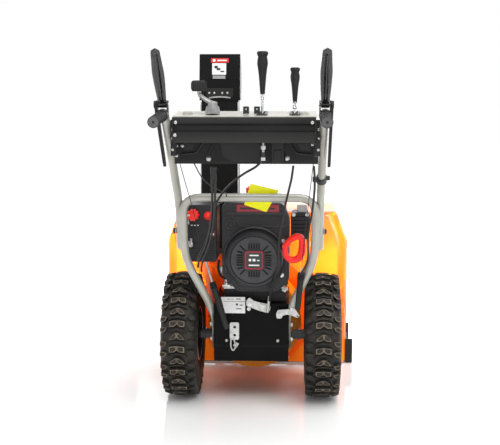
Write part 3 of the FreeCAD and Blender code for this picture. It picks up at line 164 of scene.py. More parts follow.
# Each edge tone is lighter than its finish: a painted edge highlight along with edge wear. The orange one is
# yellower, the look of lit orange paint.
FINISHES = {
    "floor": dict(grey(0.93, 0.95), roughness=(0.07, 0.12), mottle=1.5, grain=60, depth=0.006,
                  specular=0.8),
    "orange_paint": dict(dark=(0.92, 0.080, 0.0), light=(1.0, 0.110, 0.0), roughness=(0.26, 0.36),
                         mottle=5, grain=1400, depth=0.10, specular=0.22, edge=(1.0, 0.30, 0.01)),
    # The case and chute finishes are darker copies of black_paint: painted shade on the case and the chute.
    "case_black_painted_shade": dict(grey(0.0022, 0.0038), roughness=(0.40, 0.52), specular=0.09, **PAINT),
    "chute_black_painted_shade": dict(grey(0.0035, 0.0060), roughness=(0.38, 0.50), specular=0.14, **PAINT),
    "axle_paint": dict(grey(0.09, 0.13), roughness=(0.34, 0.50), mottle=40, grain=1400,
                       depth=0.2, specular=0.3),
    "gloss_black": dict(grey(0.005, 0.009), roughness=(0.14, 0.24), mottle=18, grain=900, depth=0.10,
                        coat=0.5, specular=0.5),
    "pressing_paint": dict(grey(0.010, 0.016), roughness=(0.34, 0.46), specular=0.28, **PAINT),
    "black_paint": dict(grey(0.008, 0.013), roughness=(0.36, 0.50), specular=0.20,
                        edge=(0.030, 0.030, 0.029), **PAINT),
    "silver_paint": dict(dark=(0.35, 0.345, 0.305), light=(0.44, 0.435, 0.385), roughness=(0.26, 0.38),
                         metallic=0.3, mottle=14, grain=2200, depth=0.08, coat=0.2),
    "cream_paint": dict(dark=(0.43, 0.42, 0.375), light=(0.49, 0.48, 0.43), roughness=(0.40, 0.52),
                        mottle=6, grain=1800, depth=0.10, specular=0.4),
    "zinc_steel": dict(dark=(0.40, 0.40, 0.38), light=(0.62, 0.62, 0.60), roughness=(0.22, 0.42),
                       metallic=0.9, mottle=70, grain=1500, depth=0.12),
    "zinc_bright": dict(dark=(0.40, 0.40, 0.38), light=(0.56, 0.56, 0.54), roughness=(0.24, 0.36),
                        metallic=0.6, mottle=70, grain=1500, depth=0.08),
    "bare_steel": dict(dark=(0.24, 0.23, 0.22), light=(0.42, 0.41, 0.39), roughness=(0.30, 0.52),
                       metallic=0.9, mottle=30, grain=700, depth=0.18),
    "chrome": dict(dark=(0.62, 0.63, 0.64), light=(0.80, 0.81, 0.82), roughness=(0.06, 0.14),
                   metallic=1.0, mottle=25, grain=1200, depth=0.03),
    "cast_aluminium": dict(grey(0.26, 0.42), roughness=(0.36, 0.56), metallic=0.75, mottle=45,
                           grain=520, depth=0.5),
    "black_plastic": dict(grey(0.007, 0.013), roughness=(0.34, 0.50), mottle=16, grain=1100,
                          depth=0.22, specular=0.3, edge=(0.034, 0.034, 0.036)),
    "grey_plastic": dict(dark=(0.012, 0.012, 0.013), light=(0.019, 0.019, 0.021),
                         roughness=(0.40, 0.55), mottle=12, grain=950, depth=0.30,
                         specular=0.28, edge=(0.050, 0.050, 0.053)),
    "red_plastic": dict(dark=(0.80, 0.010, 0.007), light=(0.92, 0.022, 0.016), roughness=(0.24, 0.36),
                        mottle=20, grain=1300, depth=0.14, specular=0.4, edge=(0.92, 0.07, 0.05)),
    "badge_red": dict(dark=(0.20, 0.003, 0.012), light=(0.28, 0.006, 0.018), roughness=(0.3, 0.4),
                      mottle=40, grain=1300, depth=0.05),
    "grip_rubber": dict(grey(0.008, 0.015), roughness=(0.50, 0.68), mottle=30, grain=700, depth=0.45,
                        specular=0.3, edge=(0.035, 0.035, 0.035)),
    "grip_end": dict(grey(0.060, 0.095), roughness=(0.55, 0.7), mottle=30, grain=700, depth=0.4),
    "belt_rubber": dict(grey(0.016, 0.030), roughness=(0.6, 0.8), mottle=60, grain=700, depth=0.5),
    "tyre_rubber": dict(dark=(0.011, 0.010, 0.008), light=(0.026, 0.023, 0.018),
                        roughness=(0.42, 0.66), mottle=28, grain=600, depth=0.35, specular=0.35),
    # Pale tan for the lug rims: a painted highlight on the lug edges along with dust on them.
    "tyre_lug_rim_sheen_and_dust": dict(dark=(0.060, 0.043, 0.028), light=(0.20, 0.155, 0.105), roughness=(0.5, 0.7),
                      mottle=60, grain=500, depth=0.4),
    "cable_jacket": dict(grey(0.007, 0.014), roughness=(0.34, 0.5), mottle=50, grain=900, depth=0.2,
                         specular=0.35),
    "muffler_steel": dict(dark=(0.010, 0.010, 0.011), light=(0.020, 0.020, 0.021),
                          roughness=(0.45, 0.62), metallic=0.2, mottle=36, grain=800, depth=0.4),
    "friction_rubber": dict(grey(0.025, 0.042), roughness=(0.7, 0.85), mottle=40, grain=600, depth=0.5),
    "label_white": dict(grey(0.74, 0.80), **LABEL),
    "label_black": dict(grey(0.012, 0.018), **LABEL),
    "label_red": dict(dark=(0.56, 0.020, 0.018), light=(0.66, 0.028, 0.024), **LABEL),
    "tag_yellow": dict(dark=(0.94, 0.92, 0.0), light=(1.0, 0.98, 0.004), roughness=(0.42, 0.55),
                       mottle=22, grain=1300, depth=0.08),
}
FINISH = {name: surface(name, **looks) for name, looks in FINISHES.items()}


# ---- floor and light

def make_light(name, place, aim, size, power, spread=180):
    """A rectangular light at place that faces aim, in metres, watts and degrees."""
    data = bpy.data.lights.new(name, "AREA")
    data.spread = radians(spread)
    data.shape = "RECTANGLE"
    data.size = size[0]
    data.size_y = size[1]
    data.energy = power
    light = bpy.data.objects.new(name, data)
    light.location = place
    light.rotation_euler = (Vector(aim) - Vector(place)).to_track_quat("-Z", "Y").to_euler()
    bpy.context.collection.objects.link(light)


def make_sun():
    """The soft key light, from above and in front."""
    data = bpy.data.lights.new("key", "SUN")
    data.energy = 2.7
    data.angle = radians(50)
    sun = bpy.data.objects.new("key", data)
    travel = Vector((-0.20, 0.42, -0.88))
    sun.rotation_euler = travel.to_track_quat("-Z", "Y").to_euler()
    bpy.context.collection.objects.link(sun)


def make_world():
    """A white wall at the horizon under a dimmer ceiling."""
    world = bpy.data.worlds.new("studio")
    world.use_nodes = True
    nodes = world.node_tree.nodes
    links = world.node_tree.links
    direction = nodes.new("ShaderNodeTexCoord")
    split = nodes.new("ShaderNodeSeparateXYZ")
    links.new(direction.outputs["Generated"], split.inputs["Vector"])
    fall = nodes.new("ShaderNodeMapRange")
    fill(fall, From_Min=0.13, From_Max=0.34, To_Min=1.0, To_Max=0.50)
    links.new(split.outputs["Z"], fall.inputs["Value"])
    links.new(fall.outputs["Result"], nodes["Background"].inputs["Strength"])
    fill(nodes["Background"], Color=(1.0, 1.0, 1.0, 1))
    bpy.context.scene.world = world


def make_stage():
    """The white floor, and lights placed in metres like the camera."""
    floor_half = 14.0
    bm = bmesh.new()
    bmesh.ops.create_grid(bm, x_segments=8, y_segments=8, size=floor_half)
    mesh = bpy.data.meshes.new("floor")
    bm.to_mesh(mesh)
    bm.free()
    floor = bpy.data.objects.new("floor", mesh)
    floor.location = (0, 0, cad_box[0][2])
    bpy.context.collection.objects.link(floor)
    mesh.materials.append(FINISH["floor"])
    middle = (0, 0, 0.5)
    foot = (0, 0, 0.10)
    make_light("left_softbox", (-2.6, -2.2, 1.9), middle, (1.8, 2.2), 12)
    make_light("right_softbox", (2.8, -1.6, 1.6), middle, (1.6, 2.2), 12)
    make_light("low_softbox", (0.1, -2.4, 0.30), foot, (1.6, 0.4), 3)
    for x in (-1, 1):
        make_light("flank_light", (1.5 * x, -2.3, 1.0), (0.33 * x, 0.3, 0.42), (0.2, 0.3), 1.5, spread=8)
    make_light("back_wall", (0, 6.0, 0.9), (0, 0, 0.9), (10, 1.5), 110)
    make_light("back_softbox", (0.3, 3.0, 1.9), middle, (2.6, 1.8), 24)
    make_sun()
    make_world()
    bpy.context.scene.view_settings.view_transform = "Standard"


# ---- outlines

def circle(centre, radius, steps=24):
    """Points round a circle."""
    turns = [2 * pi * step / steps for step in range(steps)]
    return [(centre[0] + radius * cos(turn), centre[1] + radius * sin(turn)) for turn in turns]


def rectangle(low, high):
    """The four corners of a rectangle, from its lowest and highest."""
    return [(low[0], low[1]), (high[0], low[1]), (high[0], high[1]), (low[0], high[1])]


def eased(points, cut, steps=5, closed=True):
    """The line through the points with each corner rounded, from cut before it to cut after it."""
    points = [Vector(point) for point in points]
    count = len(points)
    line = []
    for number, corner in enumerate(points):
        if not closed and number in (0, count - 1):
            line.append(corner)
            continue
        before = points[number - 1] - corner
        after = points[(number + 1) % count] - corner
        reach = min(cut, before.length * 0.48, after.length * 0.48)
        start = corner + before.normalized() * reach
        end = corner + after.normalized() * reach
        for step in range(steps + 1):
            t = step / steps
            line.append(start * (1 - t) ** 2 + corner * 2 * t * (1 - t) + end * t ** 2)
    return line


def stroke(start, end, width):
    """A long slot with round ends, from start to end."""
    start, end = Vector(start), Vector(end)
    turn = atan2(end.y - start.y, end.x - start.x)
    outline = []
    for centre, first in ((end, turn - pi / 2), (start, turn + pi / 2)):
        for step in range(5):
            angle = first + pi * step / 4
            outline.append((centre.x + width / 2 * cos(angle), centre.y + width / 2 * sin(angle)))
    return outline


# ---- building solids

def directions(axis):
    """Two directions across an axis, and the axis itself."""
    along = Vector(axis).normalized()
    helper = Z if abs(along.z) < 0.9 else X
    across = helper.cross(along).normalized()
    return across, along.cross(across), along


BEVEL_ABOVE = radians(28)
SHADE_SHARP_ABOVE = radians(38)
BEVEL_STEPS = 2


class Shape:
    """A mesh being built: solids are added to it, each with its own finish."""

    def __init__(self, name, *finishes):
        self.name = name
        self.bm = bmesh.new()
        self.finishes = finishes

    def _settle(self, faces, finish, edges):
        """Turns new faces outwards, gives them their finish (the first one by default) and bevels them."""
        bmesh.ops.recalc_face_normals(self.bm, faces=faces)
        for face in faces:
            face.material_index = self.finishes.index(finish) if finish else 0
        if edges:
            sharp = {edge for face in faces for edge in face.edges
                     if len(edge.link_faces) == 2 and edge.calc_face_angle(0) > BEVEL_ABOVE}
            bmesh.ops.bevel(self.bm, geom=list(sharp), offset=edges, segments=BEVEL_STEPS, profile=0.5,
                            affect="EDGES", clamp_overlap=True, material=-1)

    def _bridge(self, near, far):
        """The faces between two rings of vertices, either of which may be a single one."""
        if len(near) == 1:
            return [self.bm.faces.new((near[0], a, b)) for a, b in zip(far, far[1:] + far[:1])]
        if len(far) == 1:
            return [self.bm.faces.new((a, b, far[0])) for a, b in zip(near, near[1:] + near[:1])]
        return [self.bm.faces.new((near[i - 1], near[i], far[i], far[i - 1])) for i in range(len(near))]

    def box(self, low, high, finish=None, edges=0.0, turn=None):
        """A block between two corners, turned about its middle. edges is the width of its bevels."""
        low, high = Vector(low), Vector(high)
        middle = Matrix.Translation((low + high) / 2)
        size = Matrix.Diagonal((*(high - low), 1))
        turned = turn.to_4x4() if turn else Matrix.Identity(4)
        made = bmesh.ops.create_cube(self.bm, size=1, matrix=middle @ turned @ size)
        faces = list({face for vert in made["verts"] for face in vert.link_faces})
        self._settle(faces, finish, edges)

    def lathe(self, profile, start, axis, finish=None, steps=40, closed=False, flutes=0, flute_depth=0.0):
        """profile is (distance along the axis, radius) from one end to the other. Flutes wave its radius."""
        across, up, along = directions(axis)
        rings = []
        for distance, radius in profile:
            centre = Vector(start) + along * distance
            if radius == 0:
                rings.append([self.bm.verts.new(centre)])
                continue
            ring = []
            for step in range(steps):
                turn = 2 * pi * step / steps
                out = radius - flute_depth * (0.5 - 0.5 * cos(turn * flutes)) if flutes else radius
                way = across * cos(turn) + up * sin(turn)
                ring.append(self.bm.verts.new(centre + way * out))
            rings.append(ring)
        if closed:
            rings.append(rings[0])
        faces = []
        for near, far in zip(rings, rings[1:]):
            faces += self._bridge(near, far)
        self._settle(faces, finish, 0)

    def slab(self, outlines, origin, across, up, depth, finish=None, edges=0.0):
        """A plate as thick as depth: the first outline less the holes that the others draw."""
        origin, across, up, depth = Vector(origin), Vector(across), Vector(up), Vector(depth)
        loops = [[self.bm.verts.new(origin + across * a + up * b) for a, b in outline]
                 for outline in outlines]
        rims = [pair for loop in loops for pair in zip(loop, loop[1:] + loop[:1])]
        if len(loops) == 1:
            caps = [self.bm.faces.new(loops[0])]
        else:
            lines = [self.bm.edges.new(pair) for pair in rims]
            filled = bmesh.ops.triangle_fill(self.bm, use_beauty=True, edges=lines)["geom"]
            caps = [item for item in filled if isinstance(item, bmesh.types.BMFace)]
        twin = {vert: self.bm.verts.new(vert.co + depth) for loop in loops for vert in loop}
        faces = list(caps)
        for cap in caps:
            faces.append(self.bm.faces.new([twin[vert] for vert in reversed(cap.verts)]))
        for a, b in rims:
            faces.append(self.bm.faces.new((a, b, twin[b], twin[a])))
        self._settle(faces, finish, edges)

    def sweep(self, path, ring, finish=None, closed=False, up=Z):
        """ring(t) gives the outline's points across and above the path, at t from 0 to 1 along it."""
        path = [Vector(point) for point in path]
        count = len(path)
        rings = []
        normal = Vector(up)
        for number, point in enumerate(path):
            ahead = path[(number + 1) % count] if closed or number < count - 1 else point
            behind = path[number - 1] if closed or number else point
            along = (ahead - behind).normalized()
            normal = (normal - along * normal.dot(along)).normalized()
            side = along.cross(normal)
            outline = ring(number / (count - 1))
            rings.append([self.bm.verts.new(point + side * a + normal * b) for a, b in outline])
        faces = []
        for near, far in zip(rings, rings[1:] + rings[:1] if closed else rings[1:]):
            faces += self._bridge(near, far)
        if not closed:
            faces.append(self.bm.faces.new(rings[0]))
            faces.append(self.bm.faces.new(rings[-1]))
        self._settle(faces, finish, 0)

    def rod(self, path, radius, finish=None, steps=12, closed=False):
        """A round bar along a path."""
        self.sweep(path, lambda t: circle((0, 0), radius, steps), finish, closed)

    def disc(self, place, axis, radius, height, finish=None, steps=24):
        """A plain round bar that starts at place and runs height along the axis."""
        self.lathe([(0, 0), (0, radius), (height, radius), (height, 0)], place, axis, finish, steps)

    def bolt(self, place, axis, radius, height, finish=None):
        """A hexagon head on a washer, its underside at place."""
        across, up, along = directions(axis)
        washer = height * 0.25
        self.disc(place, axis, radius * 1.35, washer, finish, 20)
        head = [(radius * cos(pi / 3 * k), radius * sin(pi / 3 * k)) for k in range(6)]
        self.slab([head], Vector(place) + along * washer, across, up, along * (height - washer), finish,
                  radius * 0.12)

    def dome(self, place, axis, radius, height, finish=None):
        """A round bolt head, flat side at place."""
        profile = [(0, 0), (0, radius)]
        for step in range(1, 5):
            turn = pi / 2 * step / 4
            profile.append((height * sin(turn), radius * cos(turn) if step < 4 else 0))
        self.lathe(profile, place, axis, finish, 20)

    def done(self, body, *nodes, slot=None):
        """Makes the piece in metres, rides it on its body, and hides the CAD nodes that it stands for."""
        mesh = bpy.data.meshes.new(self.name)
        self.bm.to_mesh(mesh)
        mesh.transform(Matrix.Scale(MM, 4))
        self.bm.free()
        for finish in self.finishes:
            mesh.materials.append(FINISH[finish])
        mesh.shade_smooth()
        mesh.set_sharp_from_angle(angle=SHADE_SHARP_ABOVE)
        piece = bpy.data.objects.new(self.name, mesh)
        bpy.context.collection.objects.link(piece)
        normals = piece.modifiers.new("normals", "WEIGHTED_NORMAL")
        normals.keep_sharp = True
        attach(piece, body)
        if nodes:
            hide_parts(*nodes)
        return piece


# ---- carried-over CAD nodes

# Finishes used in place of the record's. Those of the case and chute are darker black, which is painted
# shade; the axle's grey is its own colour.
SHADED = {"transmission_case": "case_black_painted_shade", "transmission_cover": "case_black_painted_shade", "chute": "chute_black_painted_shade",
          "deflector": "chute_black_painted_shade", "drive_axle": "axle_paint"}


def dress_nodes():
    """Gives every CAD node the finish that the record names for it, or the one that SHADED lists for it."""
    for entry in frame["record"]["subparts"]:
        node = frame["nodes"][entry["node"]]
        finish = FINISH[SHADED.get(entry["node"], entry["material_slot"])]
        if not node.material_slots:
            node.data.materials.append(finish)
        for slot in node.material_slots:
            slot.material = finish


# ---- wheels

# The section is (across, radius) from the tyre's middle plane. A block is (across, around) points.
TYRE_HALF_WIDTH = 53
TREAD_CROWN = 9
PITCHES = 32
TYRE_SECTION = ((0, 176), (16, 175.6), (30, 174), (41, 169.5), (47.5, 161), (51, 150), (53, 136),
                (52.6, 121), (49.5, 105), (45, 93), (41, 85), (37, 80.5))
H_BLOCK = ((0.5, -9.5), (8, -8), (22, -6.5), (22, 9.5), (9, 9), (0.5, 2.5))
A_BLOCK = ((0.5, -10), (5.5, -9), (19, 2.5), (21, 9), (8, 8.5), (0.5, 3))
ARCH_BLOCK = ((0.5, -5), (13, -3), (25, 3), (27, 8), (13, 2.5), (0.5, 0.5))
ARCH_SINK = 4.5
SIDE_BLOCK = ((29.5, -6.5), (41, -8.5), (49.5, -6), (49.5, 5), (40, 7.5), (33, 2.5))


def carcass_radius(across):
    """The tyre's radius between its lugs, that far from its middle plane, in millimetres."""
    across = abs(across)
    for (near, near_radius), (far, far_radius) in zip(TYRE_SECTION, TYRE_SECTION[1:]):
        if across <= far:
            share = (across - near) / (far - near)
            return near_radius + (far_radius - near_radius) * share
    return TYRE_SECTION[-1][1]


def tyre(side, sign):
    """One tyre: its carcass, two ribs on each wall, and four kinds of lug all round."""
    low, high = box_of("tyres")
    centre = (low + high) / 2
    centre.x = sign * (high.x - TYRE_HALF_WIDTH)
    outer = (high.z - low.z) / 2
    shape = Shape("tyre_" + side, "tyre_rubber", "tyre_lug_rim_sheen_and_dust")
    mirrored = [(-across, radius) for across, radius in reversed(TYRE_SECTION[1:])]
    shape.lathe(mirrored + list(TYRE_SECTION), centre, X, steps=96, closed=True)
    for ring_radius, ring_across in ((146, 51.2), (108, 50.0)):
        for face in (-1, 1):
            rib = [(face * (ring_across + rise), ring_radius + half)
                   for rise, half in ((-1.5, 3), (1.2, 1), (1.2, -1), (-1.5, -3))]
            shape.lathe(rib, centre, X, steps=96, closed=True)

    def spot(across, around, radius, turn):
        angle = turn + around / outer
        return centre + at(across, cos(angle) * radius, sin(angle) * radius)

    def lug(block, mirror, turn, sink=0.0, pale_rim=True):
        """A block with a raised rim, pale or not, round a sunk middle. The pale rim is a painted highlight
        on the lug edges along with dust on them.
        """
        middle = Vector((sum(a for a, b in block), sum(b for a, b in block))) / len(block)
        loops = []
        for spread, lift in ((1.16, None), (1.0, 0.0), (0.74, 0.0), (0.66, -1.6)):
            loop = []
            for a, b in block:
                across = middle.x + (a - middle.x) * spread
                around = middle.y + (b - middle.y) * spread
                if lift is None:
                    across = min(across, 50.5)
                    radius = carcass_radius(across) - 1.5
                else:
                    crown = TREAD_CROWN * (across / TYRE_HALF_WIDTH) ** 2
                    radius = outer - crown + lift - sink
                loop.append(shape.bm.verts.new(spot(mirror * across, around, radius, turn)))
            loops.append(loop)
        for number, finish in enumerate((0, 1, 0)):
            for face in shape._bridge(loops[number], loops[number + 1]):
                face.material_index = finish if pale_rim else 0
        shape.bm.faces.new(loops[3])

    for pitch in range(PITCHES):
        turn = 2 * pi * pitch / PITCHES
        for mirror in (-1, 1):
            lug(A_BLOCK if pitch % 2 else H_BLOCK, mirror, turn)
            shift = (0.5 if pitch % 2 else 0.36) * mirror * 2 * pi / PITCHES
            # Of the side knobs, only those on the tyre's outboard half get the pale rim.
            lug(SIDE_BLOCK, mirror, turn + shift, pale_rim=mirror == sign)
            lug(ARCH_BLOCK, mirror, turn + pi / PITCHES, ARCH_SINK, pale_rim=False)
    bmesh.ops.recalc_face_normals(shape.bm, faces=shape.bm.faces)
    shape.done("wheels", "tyres")


def wheel_hubs():
    """The sleeves and drive pins of the wheels, inboard of the rims."""
    low, high = box_of("drive_axle")
    axle = (low + high) / 2
    axle.x = 0
    sleeve = [(0, 10), (0, 13), (1.5, 14.5), (46, 14.5), (46, 10)]
    rim_lip = [(0, 79), (2.5, 82.5), (4, 82.5), (2, 78)]
    pin = [(-19, 0), (-19, 3.4), (19, 3.4), (19, 0)]
    shape = Shape("wheel_hub_sleeves", "axle_paint", "zinc_steel")
    for sign in (-1, 1):
        out = X * sign
        start = axle + out * 118
        shape.lathe(sleeve, start, out)
        shape.lathe(rim_lip, start + out * 42, out, "zinc_steel", 96, closed=True)
        shape.lathe(pin, start + out * 24, Z, "zinc_steel", 12)
    shape.done("wheels", slot="black_paint")


# ---- auger housing

# HOUSING_REAR is a y. FLOOR, SHOULDER and TOP are heights, and DRUM is the drum's (x, z).
HOUSING_REAR = 300
HOUSING_ROLL = 42
HOUSING_FLOOR = 13
SHOULDER = 430
HOUSING_TOP = 525
SHELL_SHEET = 2.4
SIDE_SHEET = 2.5
DRUM = (0, 192)
MOUTH_RADIUS = 145
COLLAR_RADIUS = 194
SHOE_GAP = 303.2
SHOE_PLATE = 5


def auger_housing():
    """The housing's sheet: back plate with the drum's mouth, rolled corners, shoulders and top."""
    half, reach = box_of("auger_housing")[1].xy
    shape = Shape("auger_housing_shell", "orange_paint")
    bm = shape.bm

    def front(z):
        """How far forward the sheet reaches at that height."""
        if z < SHOULDER - 6:
            return HOUSING_REAR + HOUSING_ROLL + 4
        return reach - 35 * max(0, z - SHOULDER) / (HOUSING_TOP - SHOULDER)

    right = [(half, HOUSING_FLOOR), (half, 160), (half, 300), (half, 400), (half - 1, 424), (half - 4, 438),
             (half - 11, 456), (271, 510), (266, 519), (256, HOUSING_TOP)]
    outline = right + [(130, HOUSING_TOP), (0, HOUSING_TOP), (-130, HOUSING_TOP)]
    outline += [(-x, z) for x, z in reversed(right)]
    turns = [pi / 2 * step / 7 for step in range(8)]
    rows = []
    for x, z in outline:
        level = (z - HOUSING_FLOOR) / (HOUSING_TOP - HOUSING_FLOOR)
        pull = (26 + 12 * level) * min(1, abs(x) / 240) ** 3
        pull = copysign(pull, x) if x else 0
        drop = 5 if z > 500 else 0
        row = []
        for turn in turns:
            inward = 1 - sin(turn)
            forward = HOUSING_ROLL * (1 - cos(turn))
            row.append((x - pull * inward, HOUSING_REAR + forward, z - drop * inward))
        row.append((x, front(z), z))
        rows.append([bm.verts.new(point) for point in row])
    faces = []
    for a, b in zip(rows, rows[1:]):
        for k in range(len(a) - 1):
            faces.append(bm.faces.new((a[k], a[k + 1], b[k + 1], b[k])))
    mouth = [bm.verts.new((x, HOUSING_REAR, z)) for x, z in circle(DRUM, MOUTH_RADIUS, 64)]
    border = [row[0] for row in rows]
    lines = []
    for loop in (border, mouth):
        for pair in zip(loop, loop[1:] + loop[:1]):
            lines.append(bm.edges.get(pair) or bm.edges.new(pair))
    filled = bmesh.ops.triangle_fill(bm, use_beauty=True, edges=lines)["geom"]
    faces += [item for item in filled if isinstance(item, bmesh.types.BMFace)]
    bmesh.ops.recalc_face_normals(bm, faces=faces)
    lid = max(faces, key=lambda face: face.calc_center_median().z)
    if lid.normal.z < 0:
        bmesh.ops.reverse_faces(bm, faces=faces)
    bmesh.ops.solidify(bm, geom=faces, thickness=SHELL_SHEET)
    collar = [(x, max(z, HOUSING_FLOOR + 2)) for x, z in circle(DRUM, COLLAR_RADIUS, 72)]
    hole = circle(DRUM, MOUTH_RADIUS + 1.5, 64)
    shape.slab([collar, hole], (0, HOUSING_REAR - 0.2, 0), X, Z, -Y * 7, edges=3)
    edge = HOUSING_TOP - 3.4
    shape.rod([(x, front(HOUSING_TOP) - 1, edge) for x in (-255, 0, 255)], 3)
    for sign in (-1, 1):
        foot = (sign * (half - 1.5), front(SHOULDER), SHOULDER)
        shape.rod([foot, (sign * 262, front(HOUSING_TOP), edge)], 3)
    shape.done("machine", "auger_housing")


def side_plates():
    """The housing's two side walls, with a rolled front edge and the bolts along their rear edge."""
    for side, sign in SIDES:
        low, high = box_of("side_plate_" + side)
        outer = high.x if sign > 0 else low.x
        shape = Shape("side_wall_" + side, "orange_paint", "zinc_bright")
        rear, front = low.y, high.y
        corners = [(rear, 8), (632, 8), (front, 52), (front, 338), (602, SHOULDER), (rear, SHOULDER)]
        outline = eased(corners, 14)
        holes = [circle((465, 152), 14, 24), circle((642, 120), 4.5, 12), circle((642, 260), 4.5, 12)]
        shape.slab([outline] + holes, (outer - sign * SIDE_SHEET, 0, 0), Y, Z, X * sign * SIDE_SHEET,
                   edges=0.5)
        edge = [(outer - sign * 2.6, min(y, front - 2.5), z) for y, z in outline if y > rear + 10]
        shape.rod(edge, 2.4, steps=10)
        for z in (60, 180, 300, 405):
            shape.dome((outer - sign * 0.1, rear + 12, z), X * sign, 6, 3.4, "zinc_bright")
        shape.done("machine", "side_plate_" + side)


def scraper_and_shoes():
    """The scraper along the housing's foot, and a flanged skid shoe bolted to each side."""
    low, high = box_of("scraper_bar")
    shape = Shape("scraper_edge", "bare_steel", "zinc_bright", "silver_paint")
    shape.box(low, high, edges=0.8)
    # The silver-paint strip along the scraper's rear is a painted highlight: it stands in for the bright
    # line that light makes along the housing's foot.
    shape.box((low.x, HOUSING_REAR - 3, low.z), (high.x, low.y, HOUSING_FLOOR - 1),
              "silver_paint", 0.8)
    for x in (-210, -105, 0, 105, 210):
        shape.dome((x, HOUSING_REAR - 0.5, 30), -Y, 6, 4, "zinc_bright")
    shape.done("machine", "scraper_bar")
    low, high = box_of("skid_shoes")
    for side, sign in SIDES:
        shape = Shape("skid_shoe_shaped_" + side, "black_paint", "zinc_steel")
        outer = sign * high.x
        inner = sign * SHOE_GAP
        plate = eased([(332, 84), (332, 9), (342, 2), (536, 4), (558, 24), (558, 84)], 8)
        slots = [stroke((390, 44), (390, 72), 13), stroke((500, 44), (500, 72), 13)]
        shape.slab([plate] + slots, (inner, 0, 0), Y, Z, X * sign * SHOE_PLATE, edges=0.8)
        runner = eased([(330, 86), (330, 9), (340, 0.2), (537, 0.2), (560, 25), (560, 86)], 8, closed=False)
        inside = eased([(335, 86), (335, 12), (343, 5), (534, 5), (555, 27), (555, 86)], 8, closed=False)
        shape.slab([runner + inside[::-1]], (inner, 0, 0), Y, Z, X * (outer - inner), edges=0.8)
        for y in (390, 500):
            shape.bolt((inner + sign * SHOE_PLATE, y, 58), X * sign, 7, 6, "zinc_steel")
        shape.done("machine", "skid_shoes", "fasteners")


# ---- engine

def engine_block():
    """The engine behind its covers: base, crankcase, finned cylinder, head and plug."""
    low, high = box_of("engine_block")
    rear, front = low.y, high.y
    shape = Shape("engine_castings", "cast_aluminium", "black_paint", "zinc_bright", "black_plastic")
    shape.box((-84, rear, 307.6), (104, front, 318), "black_paint", 2)
    crankcase = eased([(-62, 316), (-66, 400), (-60, 470), (-34, 500), (80, 500), (90, 470), (92, 400),
                       (86, 316)], 14)
    bore = circle((12, 450), 12, 32)
    shape.slab([crankcase, bore], (0, rear + 6, 0), X, Z, Y * (front - rear - 6), edges=3)
    shape.box((-80, rear - 0.5, 316), (100, rear + 14, 347), "black_paint", 3)
    wedge = eased([(-82, 354), (-70, 354), (-41, 350), (-24, 349), (-24, 345), (-82, 344)], 2, 3)
    shape.slab([wedge], (0, rear - 0.2, 0), X, Z, Y * 6, "zinc_bright", 1)
    for rib in range(7):
        z = 356 + rib * 18
        inset = abs(rib - 3)
        shape.box((-70 + 2 * inset, rear + 14, z), (96 - 1.2 * inset, front - 8, z + 4), edges=1.2)
    for fin in range(9):
        z = 503 + fin * 5.2
        shape.box((-22, -62, z), (92, 24, z + 2.4), edges=0.6)
    shape.box((-8, -54, 500), (80, 16, 551), edges=3)
    foot = [(0, 0), (0, 11), (8, 11), (12, 13), (20, 13), (22, 9), (22, 0)]
    for x in (-50, 70):
        shape.lathe(foot, (x, front - 22, 330), Y, "black_plastic", 30, flutes=8, flute_depth=1.4)
    shape.done("machine", "engine_block")


def engine_fittings():
    """The drain plug, breather and bolts seen below the starter cover."""
    shape = Shape("engine_fittings", "zinc_bright", "zinc_steel", "black_plastic", "cast_aluminium")
    hose = [(-94, -100, 432), (-97, -112, 410), (-88, -120, 388), (-70, -112, 378), (-60, -96, 372)]
    shape.rod(eased(hose, 9, 4, closed=False), 3.6, "black_plastic", 14)
    shape.box((-96, -96, 388), (-70, -86, 414), "cast_aluminium", 2)
    shape.lathe([(0, 0), (0, 9), (3, 9), (3, 4), (8, 4), (8, 0)], (-84, -96, 402), -Y, "zinc_steel", 24)
    shape.lathe([(0, 0), (0, 7), (7, 7), (9, 5), (16, 5), (16, 0)], (-72, -112, 362), Z, "zinc_steel", 20)
    shape.bolt((-72, -112, 377), Z, 5, 5)
    shape.box((-84, -116, 356), (-60, -92, 363), "zinc_steel", 1.5)
    shape.lathe([(0, 0), (0, 6), (10, 6), (12, 4), (20, 4), (20, 0)],
                (88, -112, 358), at(0.9, 0, -0.45), steps=20)
    shape.box((90, -114, 343), (104, -94, 356), edges=2, turn=Matrix.Rotation(radians(28), 3, "Y"))
    shape.lathe([(0, 10), (3, 10), (3, 0)], (98, -116, 372), -Y, "black_plastic", 24)
    shape.done("machine", slot="zinc_steel")


